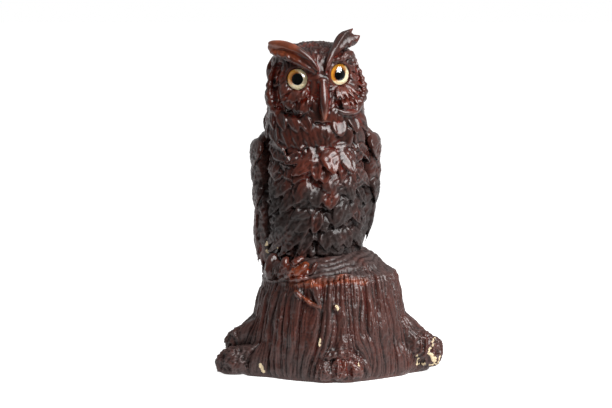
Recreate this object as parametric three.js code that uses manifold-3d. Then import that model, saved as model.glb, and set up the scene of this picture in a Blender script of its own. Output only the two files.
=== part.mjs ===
// Horned owl on a tree stump: one lacquered plaster casting, with two glass eyes set in its face.
// Millimetres, +Z up. The owl's body faces -Y, and the origin is the middle of the flat underside.
import * as THREE from "three";
import { mergeVertices } from "three/addons/utils/BufferGeometryUtils.js";
import Module from "manifold-3d";

const wasm = await Module();
wasm.setup();

const DEG = Math.PI / 180;

// The torso: half widths, front depths and back depths of its sections, from the lowest up
const TORSO = {
  x: -8.7,
  low: 54,
  step: 12,
  width: [25, 26.5, 28.7, 29.8, 30.3, 30.5, 30.5, 30, 27],
  front: [24, 26.5, 29, 30.5, 31, 31, 30.5, 29, 25],
  back: [27, 29, 31, 32, 33, 33, 32.5, 31, 28],
};

// The head, in heights from its own middle
const HEAD = {
  x: 0,
  low: -38,
  step: 8,
  width: [28, 29.2, 29.2, 28.8, 28.8, 28, 27, 26, 22],
  front: [24, 27, 28, 28.5, 28.5, 27.5, 26, 23, 17],
  back: [26, 29, 30, 31, 31, 30.5, 29.5, 26, 19],
};
const HEAD_AT = new THREE.Vector3(-8.6, 0, 167.6);
const HEAD_TURN = 7 * DEG; // towards +X
const HEAD_LEAN = 2 * DEG; // its +X side is the higher
const SECTION_POWER = 2.25; // 2 would make the sections ellipses
const MASS_END_POWER = 7; // how late a mass closes at its two ends
const LIMB_END_POWER = 5; // the same for a limb, and for a wing from edge to edge and from end to end
const WING_EDGE_POWER = 4;
const WING_END_POWER = 6;

// The hollow round each eye, in the head's own directions
const DISC = { x: 14.5, z: 1, halfWidth: 13.5, halfHeight: 18, depth: 2.6, sideways: 0.4, fade: 12 };

// The glass eyes
const EYE = { radius: 6, dome: 3.4, back: 2.2, gap: 0.3, columns: 14, steps: 5 };
const SOCKET_DEPTH = 11.4; // how far out of the face each socket is cut free
const EYES = [
  { name: "right_eye", at: [-18.5, -22, 172.6], turn: -17 * DEG },
  { name: "left_eye", at: [5.7, -20.4, 175.3], turn: 33 * DEG },
];
const LID = { radius: 7.1, thick: 1, stand: 0.2, steps: 4 };

// Long forms that follow a curve: x, y, z, half width and half depth along each
const RIGHT_BROW = [
  [-7.8, -25.4, 178, 2.6, 2.4],
  [-13.4, -24.4, 183.4, 3.8, 3.2],
  [-20, -21, 188, 4.8, 3.6],
  [-27.2, -16, 190.6, 4.8, 3.8],
  [-36, -12, 191.4, 4.2, 3.4],
];
const LEFT_BROW = [
  [-2.2, -25.5, 178, 1.9, 2.4],
  [0.7, -23, 186, 2, 2.4],
  [3.7, -18.5, 191.6, 2.3, 2.4],
  [8, -14.5, 196.6, 3.2, 2],
  [13.8, -11, 201.6, 0.6, 0.8],
];
const LEFT_TUFT_EDGE = [
  [0, -23, 183, 1.6, 2],
  [4.4, -19, 189.4, 2, 2],
  [9.2, -15, 193, 3, 2.2],
  [13.6, -12, 195.2, 3, 1.8],
  [18.2, -10, 197.4, 0.5, 0.8],
];
const LEFT_TUFT_BLADE = [
  [3, -17.5, 188.5, 2, 1.6],
  [7, -14.5, 193.2, 4.2, 1.6],
  [10.6, -12.5, 196.2, 4.6, 1.4],
  [13.6, -10.5, 198.4, 1, 0.8],
];
const NOSE_PANEL = [
  [-5, -24.6, 181, 2.4, 1.6],
  [-5.6, -26, 172, 5.4, 2],
  [-5.8, -27, 162, 6, 2.2],
  [-5.6, -27.4, 151.6, 4.6, 2],
];
const BEAK = [
  [-4.6, -25.5, 180, 1.2, 1.6],
  [-4.2, -28.2, 173, 2.2, 2.6],
  [-3.7, -30, 166, 2.9, 3.6],
  [-3.3, -31.4, 158, 2.6, 3.8],
  [-3.2, -30.6, 149, 1.1, 1.8],
];
const NOSTRIL_LEDGE = [
  [-7.4, -28.6, 171.3, 0.8, 1],
  [-4.2, -31.6, 172, 1.3, 1.4],
  [-1, -28.6, 171.8, 0.8, 1],
];
const CHIN = [
  [-10, -27, 146.4, 1.5, 1.6],
  [-3.5, -29, 145.4, 2, 2.4],
  [3, -27, 147, 1.5, 1.6],
];

// The raised, toothed rims of the two facial discs
const RIGHT_RIM = [
  [-31.5, -13, 183, 1.8, 2],
  [-35, -10.5, 171, 2.6, 3],
  [-33.6, -14, 159, 3, 3.2],
  [-27.6, -20, 152.6, 2.8, 3],
  [-18, -25, 149.6, 1.8, 2],
];
const LEFT_RIM = [
  [13.6, -11, 184, 1.8, 2],
  [17, -9, 174, 2.6, 3],
  [19.2, -9.5, 165, 3, 3.2],
  [15.6, -15, 157, 2.8, 3],
  [6.4, -22, 152, 1.8, 2],
];
const RIM_TEETH = 6;
const RIM_TOOTH = 0.22; // share of the rim's half width
const LIMB_ROOT = 2.6; // how much deeper a limb is on the side that meets the body

// Folded wings: thickness from the tip up, and the angles of the two edges from the front
const WINGS = [
  {
    side: -1,
    low: 55,
    high: 141,
    thick: [6.4, 6.8, 6.4, 5.6, 5.4, 6.4, 7.4, 7.6, 6.4],
    front: [84, 82, 81, 80, 80, 80],
  },
  {
    side: 1,
    low: 67,
    high: 144.5,
    thick: [1, 2.4, 4.4, 5.8, 7.2, 7.8, 7.8, 7.6, 6.6],
    front: [104, 94, 87, 82, 80, 80],
  },
];
const WING_BACK_EDGE = [150, 165, 168, 162, 148, 122];
const WING_ROOT = -3;
const COVERTS = { rows: 3, across: 2, drop: 12.5, width: 17, length: 18, thick: 2, sides: 4 };
const FLIGHT = { across: 3, width: 12, thick: 2, share: 0.4, sides: 4 };

// Feathers in rows: the height of the first row, the drop to the next, and the sizes of a feather
const BREAST = {
  z: 130,
  drop: 10.8,
  rows: 6,
  across: 5,
  spread: 64,
  width: 14.5,
  length: 18,
  thick: 3,
  sides: 5,
  fan: 26,
};
const RUFF = {
  z: 147,
  drop: 8.6,
  rows: 2,
  across: 6,
  spread: 74,
  width: 12,
  length: 13,
  thick: 2.6,
  sides: 5,
  fan: 26,
};
const MANTLE = {
  z: 132,
  drop: 17,
  rows: 3,
  across: 2,
  spread: 30,
  width: 16,
  length: 20,
  thick: 1.8,
  sides: 4,
  fan: 0,
};
const NAPE = {
  z: 9,
  drop: 15,
  rows: 3,
  across: 4,
  spread: 54,
  width: 18,
  length: 18,
  thick: 1.6,
  sides: 4,
  fan: 0,
};
const FEATHER = { sink: 2.2, rootSink: 1.4, tipLift: 0.8, shoulder: 0.8 };

// The stump
const STUMP = {
  x: 0.5,
  columns: 70,
  flutes: 18,
  fluteDepth: 1.5,
  rimZ: 56,
  undercut: 1.4,
  rootUndercut: 3,
};
const TRUNK = { step: 14, radius: [44.5, 45.5, 45.2, 42.3, 40.4] };
const TRUNK_HEIGHTS = [0, 2.5, 7, 12, 17, 22, 28, 41];
const SHELF = [[41, 56], [40.4, 58.6], [37, 60.2], [0, 62]]; // radius and height

// The roots: degrees from the front, turning towards +X, and the reach from the trunk's middle
const ROOTS = [
  { angle: -4, reach: 54, spread: 7, top: 19, power: 4 },
  { angle: 11, reach: 53, spread: 8, top: 18, power: 4 },
  { angle: 5, reach: 49.5, spread: 18, top: 28, power: 3 },
  { angle: 68, reach: 48.5, spread: 10, top: 19, power: 3 },
  { angle: 94, reach: 67.6, spread: 13, top: 28, power: 5 },
  { angle: 142, reach: 58, spread: 15, top: 26, power: 3 },
  { angle: 178, reach: 54, spread: 13, top: 22, power: 3 },
  { angle: -138, reach: 60, spread: 14, top: 27, power: 3 },
  { angle: -97, reach: 63.5, spread: 12, top: 29, power: 4 },
  { angle: -84, reach: 70, spread: 9.5, top: 19, power: 4 },
  { angle: -64, reach: 64, spread: 10, top: 17, power: 4 },
];
const ROOT_SIDE_POWER = 2.6; // how square a root is from side to side, and how it falls away at its top
const ROOT_TOP_POWER = 1.3;
const KNOB_ARCH = [
  [-11, -43, 8, 1.4, 1.8],
  [-5.4, -46.5, 15, 2, 2.4],
  [4, -48, 18, 2.2, 2.6],
  [13, -46.4, 15.4, 2, 2.4],
  [19.6, -42.4, 8, 1.4, 1.6],
];

// The mound under the owl, with its coils of wood grain, and the foot that grips it
const MOUND = {
  x: -2,
  y: -1,
  columns: 20,
  low: 57,
  radius: [36, 36, 35, 32.5, 28.5, 21],
  step: 2.7,
  coils: 3,
  coilDepth: 0.8,
  calm: 20, // the coils fade out inside this radius
};
const OUTER_TOE = [
  [-24.5, -22, 71, 3, 3],
  [-26, -30, 69, 3.2, 3.4],
  [-27, -34, 64, 2.9, 3.2],
  [-27.6, -35, 60, 1.8, 2],
];
const MIDDLE_TOE = [
  [-17.5, -22, 71, 3.2, 3.2],
  [-18, -32, 70, 3.6, 3.4],
  [-19, -37, 65, 3.6, 3.4],
  [-19.8, -38.4, 60, 2, 2],
];
const INNER_TOE = [
  [-12, -24, 71, 2.6, 2.8],
  [-12, -32.4, 69, 2.7, 2.8],
  [-12.6, -36.8, 65, 2.5, 2.8],
  [-13.4, -38, 61, 1.4, 1.8],
];
const TAIL = [
  [-8.7, 29, 94, 9, 3],
  [-8.7, 33, 82, 10, 3],
  [-8.7, 35.5, 70, 9, 2.6],
  [-8.7, 37, 60, 6, 2],
];

const lerp = (a, b, t) => a + (b - a) * t;
const clamp = (v, low, high) => Math.min(high, Math.max(low, v));

// A steady rise from 0 to 1 between two values.
function rise(low, high, v) {
  const t = clamp((v - low) / (high - low), 0, 1);
  return t * t * (3 - 2 * t);
}

// A repeatable number from -0.5 to 0.5 that varies the hand-made details.
function vary(n) {
  const s = Math.sin(n * 12.9898) * 43758.5453;
  return s - Math.floor(s) - 0.5;
}

// A value read from an evenly spaced row of numbers, on a smooth curve through them.
function along(values, position) {
  const last = values.length - 1;
  const p = clamp(position, 0, last);
  const i = Math.min(Math.floor(p), last - 1);
  const t = p - i;
  const [a, b, c, d] = [Math.max(i - 1, 0), i, i + 1, Math.min(i + 2, last)].map((k) => values[k]);
  const square = (2 * a - 5 * b + 4 * c - d) * t * t;
  const cube = (3 * b - a - 3 * c + d) * t ** 3;
  return 0.5 * (2 * b + (c - a) * t + square + cube);
}

// Moves every vertex of a geometry by a function of its place.
function moulded(geometry, place) {
  const position = geometry.attributes.position;
  const p = new THREE.Vector3();
  for (let i = 0; i < position.count; i++) {
    const moved = place(p.fromBufferAttribute(position, i));
    position.setXYZ(i, moved.x, moved.y, moved.z);
  }
  return geometry;
}

// A closed geometry as a solid that can be joined and cut, turned outwards if it was inside out.
function solid(geometry) {
  const bare = geometry.clone();
  bare.deleteAttribute("normal");
  bare.deleteAttribute("uv");
  const merged = mergeVertices(bare, 1e-4);
  const corners = merged.index.array;
  const vertProperties = new Float32Array(merged.attributes.position.array);
  const made = (triVerts) => new wasm.Manifold(new wasm.Mesh({ numProp: 3, vertProperties, triVerts }));
  const first = made(new Uint32Array(corners));
  return first.volume() > 0 ? first : made(new Uint32Array(corners).reverse());
}

// A solid back as a geometry, without any pocket that its joined pieces closed in.
function geometryOf(joined) {
  const outer = joined.decompose().reduce((a, b) => (b.volume() > a.volume() ? b : a));
  const mesh = outer.getMesh();
  return new THREE.BufferGeometry()
    .setAttribute("position", new THREE.BufferAttribute(new Float32Array(mesh.vertProperties), 3))
    .setIndex(new THREE.BufferAttribute(new Uint32Array(mesh.triVerts), 1));
}

// A unit ball with its poles on Z.
const ball = (columns, rows) => new THREE.SphereGeometry(1, columns, rows).rotateX(Math.PI / 2);

// The point of a mass's skin at an angle from its front and a height.
function skin(mass, angle, z, lift = 0) {
  const place = (z - mass.low) / mass.step;
  const s = Math.sin(angle);
  const c = Math.cos(angle);
  const depth = along(c > 0 ? mass.front : mass.back, place);
  const width = along(mass.width, place);
  const sum = Math.abs(s / width) ** SECTION_POWER + Math.abs(c / depth) ** SECTION_POWER;
  const r = sum ** (-1 / SECTION_POWER) + lift;
  return new THREE.Vector3(r * s + mass.x, -r * c, z);
}

// A mass of the owl: a ball moulded to the mass's sections.
function mass(sections, columns, rows, carve = (p) => p) {
  const high = sections.low + sections.step * (sections.width.length - 1);
  return moulded(ball(columns, rows), (p) => {
    const z = lerp(sections.low, high, (p.z + 1) / 2);
    const closing = Math.sqrt(Math.max(0, 1 - Math.abs(p.z) ** MASS_END_POWER));
    const on = skin(sections, Math.atan2(p.x, -p.y), z);
    return carve(new THREE.Vector3(lerp(sections.x, on.x, closing), on.y * closing, z));
  });
}

// The head's skin pressed in round the eyes.
function pressDiscs(p) {
  if (p.y > 0) return p;
  const ring = Math.hypot((Math.abs(p.x) - DISC.x) / DISC.halfWidth, (p.z - DISC.z) / DISC.halfHeight);
  const press = DISC.depth * Math.max(0, 1 - ring * ring) * rise(0, DISC.fade, -p.y);
  const r = Math.hypot(p.x, p.y) || 1;
  return new THREE.Vector3(p.x * (1 - (DISC.sideways * press) / r), p.y * (1 - press / r), p.z);
}

// From the head's own directions to its place on the body.
const headPlace = new THREE.Matrix4()
  .makeTranslation(HEAD_AT)
  .multiply(new THREE.Matrix4().makeRotationY(-HEAD_LEAN))
  .multiply(new THREE.Matrix4().makeRotationZ(HEAD_TURN));

// A tapering form along a curve, its width across the curve as seen from the front.
function limb(line, columns, rows, teeth = 0) {
  const curve = new THREE.CatmullRomCurve3(line.map(([x, y, z]) => new THREE.Vector3(x, y, z)));
  const widths = line.map((place) => place[3]);
  const depths = line.map((place) => place[4]);
  const forward = new THREE.Vector3(0, -1, 0);
  return moulded(ball(columns, rows), (p) => {
    const t = clamp((1 - p.z) / 2, 0, 1);
    const round = Math.hypot(p.x, p.y) || 1;
    const closing = Math.sqrt(Math.max(0, 1 - Math.abs(p.z) ** LIMB_END_POWER));
    const tooth = 1 + (teeth ? RIM_TOOTH * Math.cos(2 * Math.PI * teeth * t) : 0);
    const place = t * (line.length - 1);
    const root = p.y < 0 ? LIMB_ROOT : 0;
    const ahead = curve.getTangent(clamp(t, 0.001, 0.999));
    const side = new THREE.Vector3().crossVectors(forward, ahead).normalize();
    const out = new THREE.Vector3().crossVectors(ahead, side).normalize();
    return curve
      .getPoint(t)
      .addScaledVector(side, (p.x / round) * closing * along(widths, place) * tooth)
      .addScaledVector(out, (p.y / round) * closing * (along(depths, place) * tooth + root));
  });
}

// A place on a surface with its directions: across it, out of it and up along it.
function surfaceFrame(pointAt, angle, z) {
  const turn = 0.01;
  const climb = 0.5;
  const across = pointAt(angle + turn, z).sub(pointAt(angle - turn, z)).normalize();
  const up = pointAt(angle, z + climb).sub(pointAt(angle, z - climb)).normalize();
  const out = new THREE.Vector3().crossVectors(across, up).normalize();
  return { at: pointAt(angle, z), across: new THREE.Vector3().crossVectors(up, out), out, up };
}

// One feather: a leaf of a few sides whose root is sunk in the surface and whose tip stands off it.
function feather({ at, across, out, up }, { width, length, thick, sides }, turn) {
  const side = across.clone().applyAxisAngle(out, turn);
  const ahead = up.clone().applyAxisAngle(out, turn);
  const leaf = new THREE.SphereGeometry(1, sides, 2).rotateY(-90 * DEG);
  return solid(
    moulded(leaf, (p) => {
      const pole = Math.abs(p.y) > 0.5;
      const rim = lerp(FEATHER.tipLift, -FEATHER.rootSink, (p.z + 1) / 2);
      const narrow = p.z > 0.2 ? FEATHER.shoulder : 1;
      return at
        .clone()
        .addScaledVector(side, (p.x * narrow * width) / 2)
        .addScaledVector(out, pole ? (p.y > 0 ? thick : -FEATHER.sink) : rim)
        .addScaledVector(ahead, (p.z * length) / 2);
    }),
  );
}

// Rows of feathers over a surface, each row set between the feathers of the one above.
function plumage(pointAt, rows, seed, middle = 0) {
  const made = [];
  for (let row = 0; row < rows.rows; row++) {
    const count = rows.across + (row % 2);
    for (let i = 0; i < count; i++) {
      const n = seed + 31 * row + 7 * i;
      const share = count > 1 ? (2 * i) / (count - 1) - 1 : 0;
      const angle = (share * rows.spread + 6 * vary(n)) * DEG;
      const z = rows.z - row * rows.drop + 3 * vary(n + 1);
      const scale = 1 + 0.3 * vary(n + 2);
      const size = { ...rows, width: rows.width * scale, length: rows.length * scale };
      const turn = (-share * rows.fan + 16 * vary(n + 3)) * DEG;
      made.push(feather(surfaceFrame(pointAt, middle + angle, z), size, turn));
    }
  }
  return made;
}

// The face of a wing on its own side, at an angle from the front and a height.
function wingFace(wing, share, z) {
  const up = (z - wing.low) / (wing.high - wing.low);
  const front = along(wing.front, up * (wing.front.length - 1));
  const back = along(WING_BACK_EDGE, up * (WING_BACK_EDGE.length - 1));
  const crown = Math.sqrt(Math.max(0, 1 - Math.abs(2 * share - 1) ** WING_EDGE_POWER));
  const ends = Math.sqrt(Math.max(0, 1 - Math.abs(2 * up - 1) ** WING_END_POWER));
  const lift = along(wing.thick, up * (wing.thick.length - 1)) * crown * ends;
  return skin(TORSO, wing.side * lerp(front, back, share) * DEG, z, lift);
}

// A folded wing lying on the side of the torso.
function wingSolid(wing) {
  return solid(
    moulded(ball(10, 9), (p) => {
      const z = lerp(wing.low, wing.high, (p.z + 1) / 2);
      const share = (p.y / (Math.hypot(p.x, p.y) || 1) + 1) / 2;
      const face = wingFace(wing, share, z);
      if (p.x > 0) return face;
      const edge = Math.atan2(face.x - TORSO.x, -face.y);
      return skin(TORSO, edge, z, WING_ROOT);
    }),
  );
}

// The wing's coverts in rows, and the long flight feathers below them.
function wingFeathers(wing, seed) {
  const span = wing.high - wing.low;
  const made = [];
  const add = (share, z, size, n) => {
    const frame = surfaceFrame((a, h) => wingFace(wing, a * wing.side, h), share * wing.side, z);
    made.push(feather(frame, size, 10 * vary(n) * DEG));
  };
  for (let row = 0; row < COVERTS.rows; row++)
    for (let i = 0; i < COVERTS.across; i++) {
      const share = 0.14 + 0.4 * i + 0.2 * (row % 2);
      add(share, wing.high - 13 - COVERTS.drop * row, COVERTS, seed + i + COVERTS.across * row);
    }
  for (let i = 0; i < FLIGHT.across; i++) {
    const size = { ...FLIGHT, length: span * FLIGHT.share };
    add(0.2 + 0.3 * i, wing.low + span * (0.28 + 0.04 * i), size, seed + 40 + i);
  }
  return made;
}

// The stump's radius at an angle from the front and a height.
function stumpRadius(angle, z) {
  const trunk = along(TRUNK.radius, z / TRUNK.step);
  let root = 0;
  for (const { angle: middle, reach, spread, top, power } of ROOTS) {
    const away = Math.abs(((((angle / DEG - middle) % 360) + 540) % 360) - 180);
    const flare = Math.max(0, 1 - (Math.max(0, z) / top) ** power) ** ROOT_TOP_POWER;
    root = Math.max(root, (reach - trunk) * Math.exp(-((away / spread) ** ROOT_SIDE_POWER)) * flare);
  }
  const wave = STUMP.flutes * angle + 1.5 * Math.sin(3 * angle) + 0.8 * Math.sin(7 * angle + z / 9);
  const flute = STUMP.fluteDepth * Math.sin(wave) * rise(0, 12, z);
  const undercut = lerp(STUMP.undercut, STUMP.rootUndercut, Math.min(1, root / 8));
  return trunk + root + flute - undercut * (1 - rise(0, 5, z));
}

// The stump: a lathed trunk pushed out into flutes and roots, under a flat shelf.
function stump() {
  const profile = [[0, 0], ...TRUNK_HEIGHTS.map((z) => [1, z]), ...SHELF];
  const lathe = new THREE.LatheGeometry(profile.map(([r, z]) => new THREE.Vector2(r, z)), STUMP.columns);
  return moulded(lathe.rotateX(Math.PI / 2), (p) => {
    const r = Math.hypot(p.x, p.y);
    const grown = p.z < STUMP.rimZ && r > 0.5 ? stumpRadius(Math.atan2(p.x, -p.y), p.z) : 1;
    return new THREE.Vector3(p.x * grown + STUMP.x, p.y * grown, p.z);
  });
}

// The mound: a low dome whose skin winds round it in coils.
function mound() {
  const dome = MOUND.radius.map((r, i) => [r, MOUND.low + i * MOUND.step]);
  const top = MOUND.low + MOUND.step * MOUND.radius.length;
  const profile = [[0, MOUND.low], ...dome, [0, top]];
  const lathe = new THREE.LatheGeometry(profile.map(([r, z]) => new THREE.Vector2(r, z)), MOUND.columns);
  return moulded(lathe.rotateX(Math.PI / 2), (p) => {
    const angle = Math.atan2(p.x, -p.y);
    const r = Math.hypot(p.x, p.y);
    const up = (p.z - MOUND.low) / (top - MOUND.low);
    const wave = Math.sin(2 * Math.PI * MOUND.coils * up + 2 * angle);
    const coil = MOUND.coilDepth * wave * Math.min(1, r / MOUND.calm);
    const grown = r > 0.5 && up > 0 ? 1 + coil / r : 1;
    return new THREE.Vector3(p.x * grown + MOUND.x, p.y * grown + MOUND.y, p.z);
  });
}

// Turned forms that face out of the head: profiles of radius and height, on the eye's own axis.
function facing({ at, turn }, profile, columns) {
  const lathe = new THREE.LatheGeometry(profile.map(([r, h]) => new THREE.Vector2(r, h)), columns);
  return lathe
    .rotateX(Math.PI / 2)
    .rotateX(Math.PI / 2)
    .rotateZ(turn)
    .translate(...at);
}

// A glass eye: a flat back, a straight edge and a domed front.
function eyeProfile(grow, front) {
  const r = EYE.radius + grow;
  const dome = [];
  for (let i = 0; i < EYE.steps; i++) {
    const a = (i / EYE.steps) * 90 * DEG;
    dome.push([r * Math.cos(a), front * Math.sin(a)]);
  }
  return [[0, -EYE.back - grow], [r, -EYE.back - grow], ...dome, [0, front]];
}

function lidProfile() {
  const ring = [];
  for (let i = 0; i <= LID.steps; i++) {
    const a = (i / LID.steps) * 360 * DEG;
    ring.push([LID.radius + LID.thick * Math.cos(a), LID.stand + LID.thick * Math.sin(a)]);
  }
  return ring;
}

const parts = [
  solid(mass(TORSO, 20, 8)),
  solid(mass(HEAD, 26, 15, pressDiscs).applyMatrix4(headPlace)),
  solid(stump()),
  solid(mound()),
  solid(limb(RIGHT_BROW, 8, 10)),
  solid(limb(LEFT_BROW, 6, 9)),
  solid(limb(LEFT_TUFT_EDGE, 6, 8)),
  solid(limb(LEFT_TUFT_BLADE, 6, 5)),
  solid(limb(NOSE_PANEL, 6, 5)),
  solid(limb(BEAK, 6, 7)),
  solid(limb(NOSTRIL_LEDGE, 6, 4)),
  solid(limb(CHIN, 6, 4)),
  solid(limb(RIGHT_RIM, 5, 3 * RIM_TEETH, RIM_TEETH)),
  solid(limb(LEFT_RIM, 5, 3 * RIM_TEETH, RIM_TEETH)),
  solid(limb(KNOB_ARCH, 6, 8)),
  solid(limb(TAIL, 8, 6)),
  solid(limb(OUTER_TOE, 6, 6)),
  solid(limb(MIDDLE_TOE, 6, 6)),
  solid(limb(INNER_TOE, 6, 6)),
];

const torsoAt = (angle, z) => skin(TORSO, angle, z);
const headAt = (angle, z) => skin(HEAD, angle, z).applyMatrix4(headPlace);
const ruffAt = (angle, z) => headAt(angle, z - HEAD_AT.z);
parts.push(...plumage(torsoAt, BREAST, 1));
parts.push(...plumage(ruffAt, RUFF, 400));
parts.push(...plumage(torsoAt, MANTLE, 800, Math.PI));
parts.push(...plumage(headAt, NAPE, 900, Math.PI));
WINGS.forEach((wing, i) => parts.push(wingSolid(wing), ...wingFeathers(wing, 500 + 100 * i)));

for (const eye of EYES) parts.push(solid(facing(eye, lidProfile(), EYE.columns)));
const sockets = EYES.map((eye) => solid(facing(eye, eyeProfile(EYE.gap, SOCKET_DEPTH), EYE.columns)));
const casting = wasm.Manifold.union(parts).subtract(wasm.Manifold.union(sockets));

// One named mesh for each sub-part
const lacquer = new THREE.MeshStandardMaterial({ color: 0x3d1b14, roughness: 0.22, metalness: 0 });
const figure = new THREE.Group();
const owl = new THREE.Mesh(geometryOf(casting), lacquer);
owl.name = "owl_on_stump";
figure.add(owl);
for (const eye of EYES) {
  const glass = new THREE.MeshStandardMaterial({ color: 0xd9b04a, roughness: 0.05, metalness: 0 });
  const mesh = new THREE.Mesh(facing(eye, eyeProfile(0, EYE.dome), EYE.columns), glass);
  mesh.name = eye.name;
  figure.add(mesh);
}
export default figure;
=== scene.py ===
# Horned owl on a tree stump: a lacquered plaster casting with glass eyes, in a plain studio.
import math

import bmesh
import bpy
import numpy as np
from mathutils import Matrix, Vector


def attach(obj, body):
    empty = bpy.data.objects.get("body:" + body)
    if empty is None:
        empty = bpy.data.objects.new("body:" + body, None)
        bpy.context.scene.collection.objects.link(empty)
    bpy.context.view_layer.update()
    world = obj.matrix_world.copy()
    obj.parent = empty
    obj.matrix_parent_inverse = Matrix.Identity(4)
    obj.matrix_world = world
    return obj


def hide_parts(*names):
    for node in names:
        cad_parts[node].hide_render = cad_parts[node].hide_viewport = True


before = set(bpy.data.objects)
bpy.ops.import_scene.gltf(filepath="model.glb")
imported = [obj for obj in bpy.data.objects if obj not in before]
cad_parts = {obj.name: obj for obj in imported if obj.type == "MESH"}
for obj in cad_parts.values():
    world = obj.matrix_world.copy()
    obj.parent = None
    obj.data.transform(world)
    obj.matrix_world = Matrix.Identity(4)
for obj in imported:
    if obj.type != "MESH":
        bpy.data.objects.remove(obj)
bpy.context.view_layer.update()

MM = 0.001  # the forms below are worked out in millimetres
DEG = math.pi / 180
TURN = 2 * math.pi

# Studio, with the photograph's viewing angle
AIM = Vector((-13.63, -0.2, 98.13)) * MM
VIEW_RISE = 6 * DEG
VIEW_DISTANCE = 1.35
FOCAL_LENGTH = 135
SENSOR_WIDTH = 36
FLOOR = {"half": 4, "ahead": 0.2}

# The torso and the head: half widths, front depths and back depths, from the lowest up
TORSO = {
    "x": -7.8,
    "low": 54,
    "step": 12,
    "width": [25, 26, 27.8, 28.8, 29.3, 29.5, 29.5, 29.4, 26.6],
    "front": [24, 26.5, 29, 30.5, 31, 31, 30.5, 29, 25],
    "back": [27, 29, 31, 32, 33, 33, 32.5, 31, 28],
}
HEAD = {
    "x": 0,
    "low": -38,
    "step": 8,
    "width": [28, 29.2, 29, 28.4, 28, 26.8, 25.6, 25, 22],
    "front": [24, 27, 28, 28.5, 28.5, 27.5, 26, 23, 17],
    "back": [26, 29, 30, 31, 31, 30.5, 29.5, 26, 19],
}
HEAD_AT = np.array([-8.6, 0, 167.6])
HEAD_TURN = 7 * DEG
HEAD_LEAN = 2 * DEG
SECTION_POWER = 2.25
MASS_END_POWER = 7
DISC = {"x": 14.5, "z": 1, "half_width": 13.5, "half_height": 18, "depth": 2.6, "fans": 34, "fan_depth": 0.9}
CROWN = {"x": -4.5, "z": 172, "streaks": 24, "depth": 0.9, "from_z": 180}
SHAG = {"large": 210, "large_depth": 1.1, "small": 620, "small_depth": 0.4, "long": 1.7, "slant": 0.45}

# Eyes
EYE = {"radius": 6, "dome": 3.4, "back": 2.2}
EYES = {
    "right_eye": {"at": (-18.5, -22, 172.6), "turn": -17 * DEG, "amber": (-0.7, 0.35, -0.04)},
    "left_eye": {"at": (5.7, -20.4, 175.3), "turn": 33 * DEG, "amber": (-0.6, 0.6, 0.25)},
}
LID = {"radius": 7.2, "thick": 1.0, "stand": 0.2}

# Places in the lists of leaves, grooves and chips are given as the camera sees them, on an upright plane
# this far ahead of the owl's middle.
SEEN = {"y": -31, "slope": math.tan(VIEW_RISE)}

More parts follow.
